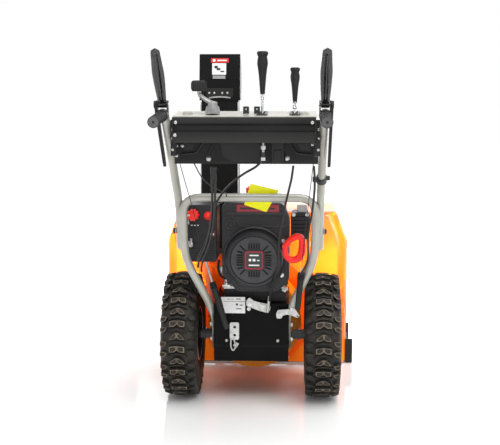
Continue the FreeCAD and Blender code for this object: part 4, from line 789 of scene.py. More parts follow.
def recoil_cover():
    """The starter's round cover: slotted face, square badge and its four screws."""
    low, high = box_of("recoil_cover")
    radius = (high.x - low.x) / 2
    face, base = low.y, high.y
    hub = (low + high) / 2
    hub.y = 0
    shape = Shape("recoil_starter_cover", "grey_plastic", "black_plastic", "badge_red", "label_black",
                  "label_white")
    wall = [(base, radius), (face + 16, radius - 1), (face + 8, radius - 3.5), (face + 3.5, radius - 8),
            (face + 2, radius - 13), (face + 5.5, radius - 16), (face + 9, radius - 17)]
    shape.lathe(wall, hub, Y, steps=64)
    inner = radius - 16.5
    # The black disc behind the slots stands for the starter's inside; its darker tone is painted shade in
    # the slots.
    shape.lathe([(face + 12, radius - 15), (face + 12, 0)], hub, Y, "black_plastic", 64)

    slots = []
    for across in (-14, -7, 0, 7, 14):
        for sign in (-1, 1):
            slots.append(((across, sign * 33), (across, sign * 46)))
            slots.append(((sign * 33, across), (sign * 47, across)))
    for a in (-1, 1):
        for b in (-1, 1):
            slots.append(((a * 27, b * 29), (a * 38, b * 40)))
            slots.append(((a * 33, b * 21), (a * 46, b * 25)))
    holes = [stroke(start, end, 4.2) for start, end in slots]
    shape.slab([circle((0, 0), inner, 64)] + holes, hub + Y * (face + 5), X, Z, Y * 4)

    half = 26
    frame_outline = eased(rectangle((-half, -half), (half, half)), 8)
    window = eased(rectangle((4 - half, 4 - half), (half - 4, half - 4)), 6)
    top = hub + Y * (face + 5)
    shape.slab([frame_outline, window], top, X, Z, Y * -3.2, "badge_red", 0.6)
    shape.slab([window], top, X, Z, Y * -1.6, "label_black")
    mark = top - Y * 1.8
    for x_low, z_low, x_high, z_high in ((-13, 12, 13, 15.5), (-15, -16, 15, -12.5), (-15, -3, -8, 4),
                                         (-4, -3, 4, 4), (8, -2, 16, 1)):
        bar = eased(rectangle((x_low, z_low), (x_high, z_high)), 1.5, 2)
        shape.slab([bar], mark, X, Z, Y * -0.5, "label_white")
    for turn in (40, 140, 220, 320):
        out = Vector((cos(radians(turn)), 0, sin(radians(turn)))) * (radius - 6)
        shape.dome(hub + out + Y * (face + 5), -Y, 3, 2.2, "black_plastic")
    shape.done("machine", "recoil_cover", slot="black_plastic")


def engine_shroud():
    """The panel that carries the starter cover, with its skirt, louvres, badge band and bolts."""
    low, high = box_of("engine_shroud")
    rear = low.y
    cover_low, cover_high = box_of("recoil_cover")
    cover_radius = (cover_high.x - cover_low.x) / 2
    hub = (cover_low + cover_high) / 2
    hub.y = rear
    shape = Shape("engine_shroud_panel", "grey_plastic", "black_plastic", "zinc_steel", "badge_red")
    left, right, base, top = low.x, high.x, low.z, high.z
    corner = 14
    outline = eased([(left, base + 48), (left + 44, base), (right - 34, base), (right, base + 34),
                     (right, top - 44), (right - 18, top), (left + 8, top), (left, top - 14)], corner)
    shape.slab([outline], Y * rear, X, Z, Y * (high.y - rear), edges=5)
    skirt = eased([(left + 10, base + 60), (left + 50, base + 8), (right - 40, base + 8),
                   (right - 8, base + 40), (right - 8, top - 96), (left + 10, top - 96)], corner)
    shape.slab([skirt], Y * (rear + 1), X, Z, Y * -4, edges=2.5)
    ring = [(0, cover_radius + 10), (-9, cover_radius + 8), (-12, cover_radius + 4),
            (-11, cover_radius + 0.8), (0, cover_radius + 0.5)]
    shape.lathe(ring, hub, Y, steps=72)

    step = [(left + 26, top - 24), (left + 43, top - 67), (right - 12, top - 67)]
    shape.rod(eased([(x, rear - 0.5, z) for x, z in step], 12, closed=False), 2.2, steps=8)
    shape.box((left + 12, rear - 5, top - 34), (right - 20, rear + 4, top - 26), edges=3)
    for row in range(4):
        level = top - (42 + row * 6)
        shape.box((left + 52, rear - 0.8, level), (right - 16, rear + 1, level + 2), "black_plastic", 0.6)
    ear = at(left + 26, rear - 4, top - 62)
    shape.lathe([(4, 14), (0, 13), (0, 9), (2, 8), (2, 0)], ear, Y, steps=28)
    shape.bolt(ear + Y * 2, -Y, 4.6, 4, "black_plastic")
    for x, z in ((left + 16, base + 66), (right - 18, top - 108), (right - 22, base + 50)):
        shape.bolt((x, rear - 3, z), -Y, 4.6, 4.5, "zinc_steel")
    band_z = top - 14
    shape.box((-40, rear - 1.5, band_z - 12), (81, rear + 2, band_z + 9), "badge_red", 1.5)
    shape.box((-30, rear - 2.2, band_z - 4), (70, rear, band_z + 1), "black_plastic", 0.6)
    shape.done("machine", "engine_shroud", slot="black_plastic")


def carburettor_cover():
    """The control panel beside the shroud: its plates, louvres, marks, primer and key switch."""
    low, high = box_of("carburettor_cover")
    rear = low.y
    right = high.x
    shape = Shape("carburettor_cover_panel", "grey_plastic", "black_plastic", "badge_red", "label_white",
                  "red_plastic")
    shape.slab([eased(rectangle((low.x, low.z), (right, high.z)), 9)], Y * rear, X, Z,
               Y * (high.y - rear), edges=3)
    inset = eased(rectangle((low.x + 8, high.z - 92), (right - 9, high.z - 10)), 6)
    shape.slab([inset], Y * rear, X, Z, Y * -2, "black_plastic", 1)
    shape.box((right - 6, rear - 3, low.z + 6), (right - 2, rear + 1, high.z - 6), edges=1.2)
    for row in range(7):
        level = low.z + (14 + 7 * row)
        shape.box((low.x + 10, rear - 1.6, level), (right - 12, rear + 1, level + 3), edges=0.8)
    red = at(low.x + 64, rear - 2, high.z - 92)
    shape.box(red, red + at(22, 3, 17), "badge_red", 0.8)
    shape.box(red + at(4, -0.4, 5), red + at(17, 1, 10), "label_white", 0.3)
    primer = at(low.x + 64, rear - 2, high.z - 31)
    bulb = [(0, 12), (-3, 12), (-4, 9.5), (-9, 8), (-12, 4), (-12.6, 0)]
    shape.lathe(bulb, primer, Y, "red_plastic", 28)
    key = at(low.x + 15, rear, low.z + 52)
    shape.lathe([(0, 10), (-3, 9), (-3, 0)], key, Y, "black_plastic", 24)
    for dot in range(3):
        spot = at(low.x + (14 + 9 * dot), rear - 2, high.z - 60)
        shape.box(spot, spot + at(5, -0.5, 2.5), "label_white", 0.2)
    shape.done("machine", "carburettor_cover", slot="black_plastic")


def choke_knob():
    """The red knob with a scalloped rim and a white pointer."""
    low, high = box_of("choke_knob")
    centre = (low + high) / 2
    centre.y = low.y
    radius = (high.x - low.x) / 2
    depth = high.y - low.y
    shape = Shape("choke_knob_scalloped", "red_plastic", "label_white")
    shares = ((1, 0.94), (0.5, 1), (0.18, 0.98), (0.05, 0.90), (0, 0.80))
    profile = [(depth * along, radius * out) for along, out in shares]
    shape.lathe(profile, centre, Y, steps=80, flutes=10, flute_depth=2.4)
    shape.lathe([(0, radius * 0.72), (depth * 0.08, radius * 0.62), (depth * 0.08, 0)], centre, Y, steps=40)
    shape.lathe([(0, radius * 0.80), (0, radius * 0.72)], centre, Y, steps=40)
    shape.box(centre + at(-radius * 0.95, 0, -2.5), centre + at(-radius * 0.5, 2, 2.5),
              "label_white", 0.6)
    shape.done("choke_knob", "choke_knob")


def throttle_lever():
    """The small steel lever on its round boss."""
    low, high = box_of("throttle_lever")
    boss_height = 7
    pivot = at((low.x + high.x) / 2, low.y, low.z + boss_height)
    depth = high.y - low.y
    shape = Shape("throttle_lever_arm", "zinc_steel")
    shape.lathe([(depth, 6.5), (1.5, 6.5), (0, 5), (0, 0)], pivot, Y, steps=24)
    arm = eased([(-4, 0), (-3, 14), (-4, 20), (4, 20), (3, 14), (4, 0)], 2, 3)
    shape.slab([arm], pivot + Y, X, Z, Y * 3, edges=0.5)
    shape.done("throttle_lever", "throttle_lever")


def muffler():
    """The muffler behind its guard, a plate with rows of slots, and its two bolts."""
    low, high = box_of("muffler")
    shape = Shape("muffler_guard", "muffler_steel", "zinc_steel", "bare_steel")
    shape.box(low + at(2, 3, 2), high - at(2, 3, 2), edges=6)
    rows, columns = 6, 5
    step_x = (high.x - low.x - 12) / columns
    step_z = (high.z - low.z - 12) / rows
    holes = []
    for row in range(rows):
        for column in range(columns):
            x = low.x + 6 + step_x * (column + 0.5)
            z = low.z + 6 + step_z * (row + 0.5)
            holes.append(stroke((x - 2.4, z), (x + 2.4, z), 4.4))
    plate = eased(rectangle((low.x, low.z), (high.x, high.z)), 7)
    shape.slab([plate] + holes, Y * low.y, X, Z, Y * 1.5)
    shape.box((low.x + 18, low.y + 8, high.z - 1), (high.x - 8, low.y + 34, high.z + 22), "bare_steel", 2)
    for x in (low.x + 8, high.x - 8):
        shape.bolt((x, low.y, high.z - 6), -Y, 4, 3.5, "zinc_steel")
    shape.done("machine", "muffler")


def fuel_cap():
    """The red cap with a scalloped rim and a grip bar."""
    low, high = box_of("fuel_cap")
    centre = (low + high) / 2
    centre.z = low.z
    radius = (high.x - low.x) / 2
    height = high.z - low.z
    shape = Shape("fuel_cap_scalloped", "red_plastic")
    shares = ((0, 0.97), (0.62, 1), (0.78, 0.95), (0.84, 0.82), (0.86, 0))
    profile = [(height * along, radius * out) for along, out in shares]
    shape.lathe(profile, centre, Z, steps=96, flutes=12, flute_depth=2)
    grip = eased(rectangle((-radius * 0.72, -5), (radius * 0.72, 5)), 4)
    shape.slab([grip], centre + Z * height * 0.84, X, Y, Z * height * 0.16, edges=1.2)
    shape.done("fuel_cap", "fuel_cap")


def starter_grip():
    """A thick loop, slanted like a mitten, with a boss where the rope goes in."""
    low, high = box_of("starter_grip")
    shape = Shape("starter_grip_loop", "red_plastic")
    thick = 9.3
    rear = low.y + thick
    outer = ((98, 488), (109, 506), (131, 520), (144, 515), (146.5, 496), (145, 470), (133, 453),
             (113, 451.5), (100, 464))
    path = eased([(x, rear, z) for x, z in outer], 13, 4)

    def section(t):
        grip = 1.0 + 0.10 * cos(2 * pi * (t - 0.55))
        return [(a * grip, b * grip * 0.98) for a, b in circle((0, 0), thick * 0.98, 18)]

    shape.sweep(path, section, closed=True, up=Y)
    for rib in range(5):
        z = 474 + rib * 9
        shape.lathe([(-2.2, thick * 0.9), (-1, thick * 1.02), (1, thick * 1.02),
                     (2.2, thick * 0.9)], (146.4, rear, z), Z, steps=20)
    neck = at(low.x + 9.6, rear, 490)
    shape.lathe([(0, 8.6), (12, 8), (18, 5.5), (high.y - rear, 4.5)], neck, Y, steps=24)
    shape.lathe([(0, 8.6), (-5, 7), (-6.5, 0)], neck, Y, steps=24)
    shape.done("starter_grip", "starter_grip")


# ---- handles and levers

# GRIP_BEND, TUBE_END and LEVER_PIVOT are (y, z) beside the handle tubes.
HANDLE_TUBE = 11
GRIP_LENGTH = 118
GRIP_BEND = (-478, 862)
TUBE_END = (-657, 846)
LEVER_PIVOT = (-508, 884)
LEVER_LEAN = radians(42)


def handle_ends(sign):
    """The rear run of a handle tube: its end, and the way from there to the bend."""
    x = sign * (box_of("upper_handles")[1].x - HANDLE_TUBE)
    end = Vector((x, *TUBE_END))
    along = (Vector((x, *GRIP_BEND)) - end).normalized()
    return end, along


def lower_handle():
    """The hoop: a round tube whose two ends are pressed flat and bolted to the case's sides."""
    radius = 11.5
    top = box_of("lower_handle")[1].z - radius
    half = 182
    leg = [(-112.4, -84, 174), (-112.6, -118, 292), (-half, -205, 458), (-half, -234, top)]
    corners = leg + [(-x, y, z) for x, y, z in reversed(leg)]
    path = eased(corners, 50, 9, closed=False)
    pressed = [min(1.0, max(0.0, (302 - point.z) / 36)) for point in path]

    def section(t):
        flat = pressed[round(t * (len(path) - 1))]
        return [(a * (1 - 0.74 * flat), b * (1 + 0.35 * flat)) for a, b in circle((0, 0), radius, 24)]

    shape = Shape("lower_handle_hoop", "silver_paint", "zinc_bright")
    shape.sweep(path, section, up=Y)
    for sign in (-1, 1):
        for y, z in ((-92, 196), (-104, 243)):
            shape.bolt((sign * 115.2, y, z), X * sign, 6, 6, "zinc_bright")
        shape.bolt((sign * 112.6, -60, 284), X * sign, 5.5, 16, "zinc_bright")
        for z in (500, 560):
            y = -205 - 29 * (z - 458) / (top - 458)
            shape.lathe([(0, 6.5), (2, 6.5), (2, 0)], (sign * (half - 13), y, z),
                        -X * sign, "zinc_bright", 6)
    shape.done("machine", "lower_handle")


def upper_clamps():
    """The bolts, knobs and cable clamp that the two upper tubes carry."""
    shape = Shape("handle_clamps", "black_plastic", "zinc_bright")
    x = box_of("upper_handles")[1].x - HANDLE_TUBE
    knob = [(2, 7), (5, 8.5), (8, 8.5), (9, 6), (9, 0)]
    for sign in (-1, 1):
        start = at(sign * (x + 10.5), -194, 532)
        shape.lathe([(0, 9), (2, 9.5), (2.5, 0)], start, X * sign, "zinc_bright", 24)
        shape.lathe(knob, start, X * sign, steps=24, flutes=5, flute_depth=1.2)
    slope = at(0, -275, 257).normalized()
    middle = at(x, -291, 687)
    band = [(-9, 11.4), (-9, 14.5), (9, 14.5), (9, 11.4)]
    shape.lathe(band, middle, slope, steps=28, closed=True)
    shape.box(middle + at(-24, -17, -7), middle + at(-8, 2, 7), edges=2)
    shape.box(middle + at(10, -9, -3), middle + at(22, 4, 9), edges=2)
    shape.done("machine", slot="black_plastic")


def handle_grips():
    """The ribbed rubber grips on the ends of the handle tubes."""
    radius = 13.6
    cap = 3
    ribs = 19
    pitch = (GRIP_LENGTH - 12) / ribs
    for side, sign in SIDES:
        end, along = handle_ends(sign)
        shape = Shape("handle_grip_ribbed_" + side, "grip_rubber", "grip_end")
        shape.lathe([(-cap, 3), (-cap, radius - 1.5)], end, along, "grip_end", 40)
        shape.lathe([(-cap + 2, 0), (-cap + 2, 3), (-cap, 3)], end, along, steps=24)
        profile = [(-cap, radius - 1.5), (-cap + 1.2, radius), (3, radius)]
        for rib in range(ribs):
            start = 4 + rib * pitch
            profile += [(start, radius - 1.6), (start + pitch * 0.35, radius - 1.6),
                        (start + pitch * 0.5, radius - 0.2), (start + pitch * 0.9, radius - 0.2)]
        profile += [(GRIP_LENGTH - 7, radius), (GRIP_LENGTH - 1, radius), (GRIP_LENGTH, radius - 1),
                    (GRIP_LENGTH, 11)]
        shape.lathe(profile, end, along, steps=40)
        shape.done("machine", "handle_grips")


def clutch_lever(name, sign):
    """A squeeze paddle over the grip, with its lower arm beside the tube."""
    x = sign * (box_of("upper_handles")[1].x - HANDLE_TUBE)
    pivot = Vector((x, *LEVER_PIVOT))
    up = at(0, -sin(LEVER_LEAN), cos(LEVER_LEAN))
    face = at(0, cos(LEVER_LEAN), sin(LEVER_LEAN))
    shape = Shape(name + "_paddle", "gloss_black", "black_paint", "zinc_steel")
    shape.lathe([(-10, 0), (-10, 7), (-9, 8), (9, 8), (10, 7), (10, 0)], pivot, X, steps=28)
    length = 170
    steps = 26

    def half_width(t):
        return 9.5 + 5.0 * sin(pi * min(1, t * 1.25) * 0.62) - 3.2 * max(0, t - 0.6) / 0.4

    def section(t):
        tip = max(0.0, (t - 0.93) / 0.07)
        wide = half_width(t) * sqrt(max(0.02, 1 - tip * tip))
        thick = 4.6 * sqrt(max(0.08, 1 - tip * tip))
        outline = []
        for turn in range(24):
            angle = 2 * pi * turn / 24
            a = wide * copysign(abs(cos(angle)) ** 0.7, cos(angle))
            b = thick * copysign(abs(sin(angle)) ** 0.7, sin(angle))
            outline.append((a, b))
        return outline

    path = [pivot + up * (length * step / steps) for step in range(steps + 1)]
    shape.sweep(path, section, up=face)
    for across in (-0.5, 0, 0.5):
        rib = [pivot + up * (length * (0.12 + 0.78 * step / 12)) - face * 4.3
               + X * across * half_width(0.12 + 0.78 * step / 12) for step in range(13)]
        shape.rod(rib, 1.3, steps=8)
    arm_x = x + sign * 18
    arm = eased([(-7, -8), (7, -8), (6, 196), (3, 214), (-3, 214), (-6, 196)], 4, 3)
    start = (arm_x + sign * 2, pivot.y, pivot.z)
    shape.slab([arm], start, face, -up, -X * sign * 7.5, "black_paint", 1.4)
    shape.lathe([(-2.6, 0), (-2.6, 9), (2.6, 9), (2.6, 0)],
                (arm_x, pivot.y, pivot.z), X, "black_paint", 28)
    pin_low = x - 15.5 if sign > 0 else x - 20
    shape.disc((pin_low, pivot.y, pivot.z), X, 4, 35.5, "zinc_steel", 20)
    shape.done(name, name, slot="black_plastic")


# ---- controls on the dash

def control_lever(name, slim):
    """A chrome stem with a sculpted, fluted knob."""
    low, high = box_of(name)
    pivot_height = 812
    x, y = ((low + high) / 2).xy
    top = high.z
    length = 88 if slim else 106
    wide = 13 if slim else 14.8
    base = top - length
    shape = Shape(name + "_knob", "black_plastic", "chrome", "black_paint")
    outline = ((0, 0.42), (0.02, 0.45), (0.26, 0.60), (0.45, 0.72), (0.57, 0.84), (0.68, 0.98),
               (0.74, 1.0), (0.80, 0.94), (0.86, 0.84), (0.885, 0.88), (0.91, 0.98), (0.94, 1.06),
               (0.972, 1.02), (0.992, 0.86), (1.0, 0.6))
    profile = [(0, 0)] + [(share * length, radius * wide) for share, radius in outline]
    shape.lathe(profile, (x, y, base), Z, steps=72, flutes=6, flute_depth=2.2)
    shape.lathe([(0, 0.74 * wide), (2, 0.5 * wide), (2.6, 0)], (x, y, top - 3.2), Z, steps=32)
    stem = 4.2
    rise = base - pivot_height + 4
    shape.lathe([(0, 0), (0, stem), (rise, stem)], (x, y, pivot_height), Z, "chrome", 20)
    collar = 6.5 if slim else 5.2
    shape.lathe([(-14, stem), (-12, collar), (-4, collar * 1.15), (0, collar), (0, 0)],
                (x, y, base), Z, "chrome", 24)
    shape.lathe([(-9, 0), (-9, 7), (9, 7), (9, 0)], (x, y, pivot_height), X, "black_paint", 24)
    shape.done(name, name)


def lever_gates():
    """The black guides that the two lever stems pass through, on the dash's slope."""
    slope = 11 / 120
    dash_rear = 460
    height = box_of("dash_panel")[1].z - 11 + slope * dash_rear
    shape = Shape("lever_gates", "black_plastic")
    for name in ("speed_lever", "deflector_lever"):
        low, high = box_of(name)
        x, y = ((low + high) / 2).xy
        gate = eased(rectangle((x - 13, y - 37), (x + 13, y + 37)), 6)
        gap = eased(rectangle((x - 7, y - 31), (x + 7, y + 31)), 3)
        shape.slab([gate, gap], (0, 0, height), X, (0, 1, slope), Z * 3.5)
    shape.done("machine")


def chute_crank():
    """The crank's hub, its arm up to the knob, and the knurled knob."""
    knob_low, knob_high = box_of("crank_knob")
    hub = at(-82, -420, 859)
    knob = (knob_low + knob_high) / 2
    knob.z = knob_low.z
    shape = Shape("chute_crank_arm", "cast_aluminium", "zinc_steel", "black_paint")
    boss = [(2, 0), (2, 19), (6, 19), (20, 15.5), (20, 12.5), (30, 11.5), (32, 9.5), (32, 0)]
    shape.lathe(boss, hub, Z, steps=40, flutes=8, flute_depth=1.2)
    shape.lathe([(-46, 0), (-46, 20), (-32, 20), (-32, 6), (4, 6)], hub, Z, "black_paint", 28)
    path = [hub + at(4, 0, 25), hub + at(-6, 0, 30), hub + at(-20, 0, 38), knob + at(2, 0, -9),
            knob - Z * 3]

    def section(t):
        wide = 9.5 - 3.0 * t
        return [(a, b * 0.72) for a, b in circle((0, 0), wide, 10)]

    shape.sweep(path, section, up=Z)
    shape.lathe([(-8, 0), (-8, 5), (0, 5), (0, 0)], knob, Z, "zinc_steel", 20)
    shape.done("chute_crank", "chute_crank")
    grip = Shape("crank_knob_knurled", "grip_rubber")
    radius = (knob_high.x - knob_low.x) / 2
    height = knob_high.z - knob_low.z
    shares = ((0, 0), (0, 0.80), (0.08, 0.9), (0.3, 1), (0.72, 0.99), (0.88, 0.92), (0.97, 0.80), (1, 0.6),
              (1, 0))
    profile = [(height * along, radius * out) for along, out in shares]
    grip.lathe(profile, knob, Z, steps=96, flutes=24, flute_depth=1.2)
    grip.done("crank_knob", "crank_knob")


def rocker_switch(side):
    """One rocker switch: its cap, its base and its white mark."""
    name = "rocker_switch_" + side
    low, high = box_of(name)
    shape = Shape(name + "_cap", "black_plastic", "grey_plastic", "label_white")
    shape.box(low + at(0, 0, 6), high, edges=1.6)
    shape.box(low, at(high.x, high.y, low.z + 6), "grey_plastic", 0.8)
    middle = (low + high) / 2
    mark = at(middle.x, low.y, high.z)
    shape.box(mark + at(-1, -0.2, -9), mark + at(1, 1, -5), "label_white", 0.2)
    shape.done(name, name)


def dash_details():
    """The bolts, pressings and cable stops of the dash and its bracket, and the case cover's bolts."""
    rear = box_of("dash_channel")[0].y
    plate = box_of("dash_bracket")[1].y - 2.5
    cover = box_of("transmission_cover")[0].y + 3.4
    shape = Shape("dash_hardware", "zinc_bright", "pressing_paint", "black_plastic", "cream_paint")
    for x, z in ((-170, 840), (-172, 809), (166, 840)):
        shape.dome((x, rear - 0.2, z), -Y, 4.6, 3)
    for x, z in ((-178, 779), (-163, 779), (-178, 754), (168, 783), (177, 784), (177, 757)):
        shape.dome((x, plate, z), -Y, 5, 4)
    for x, z in ((-96, 746), (104, 748)):
        shape.dome((x, plate, z), -Y, 7, 5)
    for x, z in ((-72, 196), (78, 197)):
        shape.dome((x, cover, z), -Y, 5, 4)
    for sign in (-1, 1):
        ridge = [(sign * 110, 788), (sign * 126, 761), (sign * 166, 757)]
        path = eased([at(x, plate - 1, z) for x, z in ridge], 8, 4, closed=False)
        shape.rod(path, 3.4, "pressing_paint", 10)
        sunk = eased([(sign * 164, 786), (sign * 130, 786), (sign * 139, 769), (sign * 164, 767)], 4)
        shape.slab([sunk], (0, plate, 0), X, Z, -Y * 1.4, "pressing_paint", 0.6)
        ear = sorted((sign * 172, sign * 187))
        shape.box((ear[0], -434, 756), (ear[1], -424, 846), "pressing_paint", 1)
        for z in (772, 800, 822):
            shape.dome((sign * 181.5, -434, z), -Y, 4, 4)
        strut = [(sign * 82, plate - 2, 789), (sign * 100, plate - 2, 752)]
        shape.rod(strut, 2.6, "pressing_paint", 8)
    well = eased([(-66, 787), (36, 787), (36, 738), (-34, 738), (-62, 754)], 5)
    shape.slab([well], (0, plate, 0), X, Z, -Y * 2.2, "pressing_paint", 1)
    shape.box((64, plate - 9, 736), (96, plate, 789), "pressing_paint", 2)
    shape.box((70, plate - 12, 742), (90, plate - 6, 770), "pressing_paint", 2)
    stop = at(45, -436, 0)
    for z, radius, length in ((773, 6.5, 9), (766, 3.4, 8), (745, 6.0, 8), (753, 4.4, 13), (782, 2.6, 8)):
        finish = "black_plastic" if z == 753 else "zinc_bright"
        shape.disc(stop + Z * z, Z, radius, length, finish, 6 if radius > 5 else 16)
    panel_low, panel_high = box_of("dash_panel")
    for x in (-146, 145):
        bump = at(x, panel_low.y + 50, panel_high.z - 8)
        shape.lathe([(0, 14), (6, 13), (8, 10), (8.5, 0)], bump, Z, "cream_paint", 32)
    shape.done("machine", "fasteners", slot="zinc_steel")


# ---- chute

def chute_details():
    """The hinge band, rivets, edge beads and rods of the discharge chute."""
    tilt_low, tilt_high = box_of("deflector")
    middle_x = (tilt_low.x + tilt_high.x) / 2
    hinge_z = tilt_low.z + 8
    shape = Shape("chute_hardware", "zinc_steel")
    channel = 58
    for sign in (-1, 1):
        x = middle_x + sign * (channel + 0.6)
        shape.rod([(x, 166, hinge_z - 14), (x, 158, 760), (x, 158, 470)], 1.8, steps=8)
    shape.done("chute")

    band = Shape("deflector_hardware", "black_paint", "zinc_steel", "label_red", "label_white",
                 "label_black")
    face = tilt_low.y
    half = (tilt_high.x - tilt_low.x) / 2
    band.box((middle_x - 42, face - 2, hinge_z + 3), (middle_x + 42, face + 0.5, hinge_z + 30), edges=0.8)
    arch = [(middle_x + t * 34, tilt_low.y - 1.5, hinge_z + (3 - 3 * t * t))
            for t in (-1, -0.5, 0, 0.5, 1)]
    band.sweep(arch, lambda t: rectangle((-1, -2), (1, 2)), "zinc_steel", up=Z)
    for x in (-33, -17, 8, 24):
        band.dome((middle_x + x, face - 2, hinge_z + 15), -Y, 3.6, 2.4, "zinc_steel")
    for sign in (-1, 1):
        band.rod([(middle_x + sign * half, face + 4, hinge_z + 3),
                  (middle_x + sign * half, face + 4, tilt_high.z - 66)], 2.2, steps=8)
    lean = atan2(13, 76)
    up = at(0, sin(lean), cos(lean))
    out = at(0, -cos(lean), sin(lean))
    knee = at(middle_x, face, hinge_z + 60)

    def sticker(x_low, along_low, x_high, along_high, finish, lift):
        """A flat mark on the leaning face, lifted a little off it."""
        outline = eased(rectangle((x_low, along_low), (x_high, along_high)), 1.2, 2)
        band.slab([outline], knee + out * (lift - 0.5), X, up, out * 0.7, finish)

    sticker(-28, 50, 28, 64, "label_red", 0.2)
    sticker(-24, 12, 20, 48, "label_white", 0.2)
    for corners in ((-22, 53, -14, 61), (-8, 55, 22, 59)):
        sticker(*corners, "label_white", 0.5)
    for corners in ((-17, 32, -6, 40), (-10, 26, 2, 33), (2, 20, 14, 24)):
        sticker(*corners, "label_black", 0.5)
    for row in range(3):
        sticker(-22, 7 - 3.4 * row, 18, 8.4 - 3.4 * row, "label_white", 0.1)
    band.done("deflector")


# ---- cables

# Each held cable and wire: its radius, and the points that shape its line.
CABLE_ROUTES = {
    "chute_cable_a": (3.2, [(-86, -412, 728), (-86, -400, 690), (-88, -380, 645), (-94, -330, 590),
                            (-103, -290, 545), (-116, -250, 500), (-132, -224, 468), (-146, -188, 440),
                            (-150, -150, 420)]),
    "chute_cable_b": (3.2, [(-78, -412, 728), (-78, -402, 690), (-80, -384, 645), (-86, -338, 590),
                            (-95, -298, 545), (-108, -262, 500), (-124, -236, 463), (-137, -200, 432),
                            (-140, -150, 408)]),
    "shift_cable": (3, [(120, -389, 729), (117, -380, 700), (110, -345, 668), (101, -300, 625),
                        (93, -262, 578), (84, -246, 540), (82, -236, 500), (81, -228, 465),
                        (77, -218, 430), (67, -195, 392), (57, -165, 352), (54, -142, 322)]),
    "gear_cable": (3, [(44, -434, 790), (43, -434, 746), (27, -424, 728), (-2, -400, 712),
                       (-38, -360, 684), (-67, -322, 652), (-88, -285, 618), (-97, -262, 585),
                       (-106, -245, 545), (-120, -226, 505), (-137, -205, 470), (-150, -170, 442)]),
    "auger_cable": (3, [(172, -392, 728), (176, -378, 690), (174, -345, 640), (170, -306, 595),
                        (163, -278, 550), (161, -262, 505), (163, -248, 468), (156, -232, 440),
                        (145, -216, 420)]),
}
WIRE_ROUTES = {
    "drive_wire": (1, [(-170, -383, 733), (-164, -350, 693), (-160, -300, 652), (-156, -262, 621),
                       (-150, -200, 560), (-140, -160, 470), (-126, -158, 437)]),
    "auger_wire": (1, [(171, -383, 736), (168, -350, 700), (165, -300, 659), (160, -262, 606),
                       (154, -240, 540), (148, -215, 470), (145, -202, 428)]),
    "throttle_wire": (1.6, [(-133, -383, 733), (-124, -350, 704), (-108, -320, 676), (-80, -285, 655),
                            (-58, -262, 645), (-64, -220, 620), (-96, -160, 600), (-112, -128, 585)]),
}


def cable(name, radius, route, nodes=()):
    """A held cable as one smooth line through its route."""
    data = bpy.data.curves.new(name, "CURVE")
    data.dimensions = "3D"
    data.bevel_depth = radius * MM
    data.bevel_resolution = 4
    data.resolution_u = 8
    data.use_fill_caps = True
    spline = data.splines.new("NURBS")
    spline.points.add(len(route) - 1)
    for point, place in zip(spline.points, route):
        point.co = (*Vector(place) * MM, 1)
    spline.order_u = 3
    spline.use_endpoint_u = True
    data.materials.append(FINISH["cable_jacket"])
    piece = bpy.data.objects.new(name, data)
    bpy.context.collection.objects.link(piece)
    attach(piece, "machine")
    if nodes:
        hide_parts(*nodes)


def cable_boots():
    """The ribbed sleeves at the lower ends of the two clutch cables."""
    shape = Shape("cable_sleeves", "grip_rubber", "zinc_bright")
    for low, high, rod in ((at(-69, -140, 238), at(-110, -150, 378), 62),
                           (at(135, -160, 302), at(144, -196, 416), 14)):
        along = high - low
        length = along.length
        profile = [(0, 0), (0, 6), (2, 8), (length - 26, 9), (length - 20, 10)]
        for fold in range(4):
            start = length - 20 + fold * 4.5
            profile += [(start + 1, 10.2), (start + 2.6, 8), (start + 4, 9.8)]
        profile += [(length, 5), (length, 0)]
        shape.lathe(profile, low, along, steps=28)
        shape.rod([high, high + along.normalized() * rod], 3.2, "zinc_bright")
    shape.done("machine", "cable_boots")


# ---- rear of the transmission case

def shift_arm():
    """The shift arm: a bent flat arm on its pivot, with the square block and rod of the shift cable."""
    pivot = at(-6, box_of("shift_arm")[0].y, 294)
    shape = Shape("shift_arm_plate", "zinc_bright", "zinc_steel")
    arm = eased([(6, 31), (1, 34), (-7, 25), (-8, 9), (0, 6), (30, -5), (52, -11), (62, -4), (63, 8),
                 (52, 16), (32, 20), (14, 25)], 3.5)
    shape.slab([arm], pivot + Y, X, Z, Y * 5, edges=1.2)
    shape.lathe([(0, 0), (0, 8), (-2, 8), (-2, 5), (-5, 5), (-5, 0)],
                pivot + at(3, 1, 15), Y, "zinc_steel", 6)
    shape.box(pivot + at(31, -3.5, -4), pivot + at(48, 3, 15), edges=1,
              turn=Matrix.Rotation(radians(14), 3, "Y"))
    shape.lathe([(0, 0), (0, 5.4), (11, 5.4)], pivot, Y, "zinc_steel", 20)
    shape.rod([pivot + at(54, -5, -8), pivot + at(60, -7, 40)], 4.2)
    shape.dome(pivot + at(57, -1, 1), -Y, 5, 3, "zinc_steel")
    shape.done("shift_arm", "shift_arm", slot="zinc_steel")


def clutch_arm():
    """The arm that the auger clutch turns: a bent plate, its bolt and its lug."""
    pivot = at(86, box_of("clutch_arm")[0].y, 279)
    shape = Shape("clutch_arm_plate", "zinc_bright")
    arm = [(-13, 2), (-8, 15), (31, 18), (42, 20), (50, 5), (56, -1), (48, -8),
           (37, -2), (20, 2), (6, -1), (3, -10), (-11, -10)]
    hole = circle((49, -2.4), 2.6, 14)
    shape.slab([eased(arm, 4), hole], pivot + Y, X, Z, Y * 4)
    shape.bolt(pivot + at(-3, 1, 2), -Y, 5.4, 4.5)
    shape.lathe([(0, 0), (0, 6), (20, 6)], pivot + Y * 3, Y, None, 20)
    shape.box(pivot + at(28, -3, 8), pivot + at(36, 4, 24), None, 1)
    shape.done("clutch_arm", "clutch_arm", slot="zinc_steel")


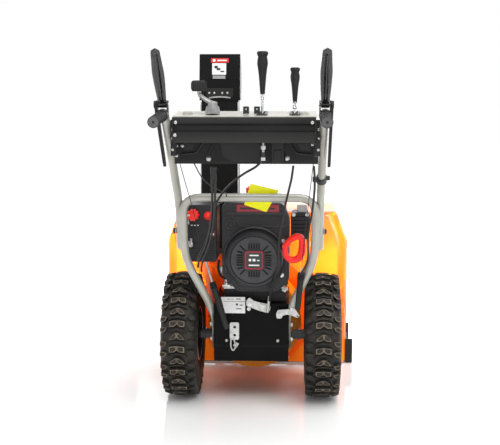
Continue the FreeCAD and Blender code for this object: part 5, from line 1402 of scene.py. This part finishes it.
def clutch_link():
    """The link plate that hangs from the clutch arm, with its wire clip."""
    low, high = box_of("clutch_link")
    middle = (low + high) / 2
    shape = Shape("clutch_link_plate", "zinc_bright")
    outline = eased(rectangle((low.x, low.z), (high.x, high.z)), 6)
    holes = [circle((middle.x + 1, low.z + lift), 4, 16) for lift in (14, 38)]
    shape.slab([outline] + holes, (0, low.y, 0), X, Z, Y * (high.y - low.y))
    clip = [(middle.x - 10, low.y - 1, low.z + 5), (middle.x - 11, low.y - 2, low.z - 20),
            (middle.x - 4, low.y - 3, low.z - 34), (middle.x + 4, low.y - 3, low.z - 20),
            (middle.x - 2, low.y - 1, low.z + 6)]
    shape.rod(eased(clip, 8, 4, closed=False), 2.4)
    shape.box(middle + at(-2, 0, low.z - middle.z - 22),
              middle + at(11, 3, low.z - middle.z - 8), None, 1,
              turn=Matrix.Rotation(radians(28), 3, "Y"))
    shape.done("clutch_link", "clutch_link", slot="zinc_steel")


def case_labels():
    """A printed label without words on the case's cover."""
    rear = box_of("transmission_cover")[0].y
    shape = Shape("case_labels", "label_white", "label_black")
    sheet_outline = eased([(-88, 327), (-17, 327), (-17, 279), (-75, 279)], 1.5, 2)
    shape.slab([sheet_outline], (0, rear - 0.1, 0), X, Z, -Y * 0.5)
    shape.box((-80, rear - 0.9, 313.5), (-19, rear - 0.4, 314.5), "label_black")
    for x, z, wide, tall in ((-44, 320, 14, 2.5), (-44, 302, 6, 6), (-33, 302, 9, 2.5), (-44, 291, 16, 2.5),
                             (-70, 320, 20, 1.5)):
        shape.box((x, rear - 0.9, z), (x + wide, rear - 0.4, z + tall), "label_black")
    shape.done("machine", slot="cream_paint")


def hang_tag():
    """A blank yellow card, a little curled, hung behind the cross tube of the lower handle."""
    tube_width = 23
    behind = box_of("lower_handle")[0].y + tube_width + 2
    shape = Shape("hang_tag", "tag_yellow")
    rows = 6
    left = [at(3.5, 0, 667).lerp(at(-14.5, 0, 609), k / rows) for k in range(rows + 1)]
    right = [at(81, 0, 649).lerp(at(47, 0, 589), k / rows) for k in range(rows + 1)]
    faces = []
    for k in range(rows):
        curl = [Y * (behind + 5 * sin(pi * n / rows)) for n in (k, k + 1)]
        near = [left[k] + curl[0], right[k] + curl[0], right[k + 1] + curl[1], left[k + 1] + curl[1]]
        verts = [shape.bm.verts.new(point) for point in near]
        back = [shape.bm.verts.new(point + Y * 0.6) for point in near]
        faces += [shape.bm.faces.new(verts), shape.bm.faces.new(back)]
        faces += shape._bridge(verts, back)
    shape._settle(faces, "tag_yellow", 0)
    shape.done("machine", slot="cream_paint")


# ---- the whole machine

def build():
    """Makes the camera, the stage and every piece."""
    make_camera()
    make_stage()
    dress_nodes()
    for side, sign in SIDES:
        tyre(side, sign)
        rocker_switch(side)
    for piece in (wheel_hubs, auger_housing, side_plates, scraper_and_shoes, engine_block, engine_fittings,
                  recoil_cover, engine_shroud, carburettor_cover, choke_knob, throttle_lever, muffler,
                  fuel_cap, starter_grip, lower_handle, upper_clamps, handle_grips):
        piece()
    clutch_lever("drive_lever", -1)
    clutch_lever("auger_lever", 1)
    control_lever("speed_lever", slim=False)
    control_lever("deflector_lever", slim=True)
    for piece in (lever_gates, chute_crank, dash_details, chute_details):
        piece()
    for name, (radius, route) in CABLE_ROUTES.items():
        cable(name, radius, route, nodes=("control_cables",))
    for name, (radius, route) in WIRE_ROUTES.items():
        cable(name, radius, route)
    for piece in (cable_boots, shift_arm, clutch_arm, clutch_link, case_labels, hang_tag):
        piece()


build()
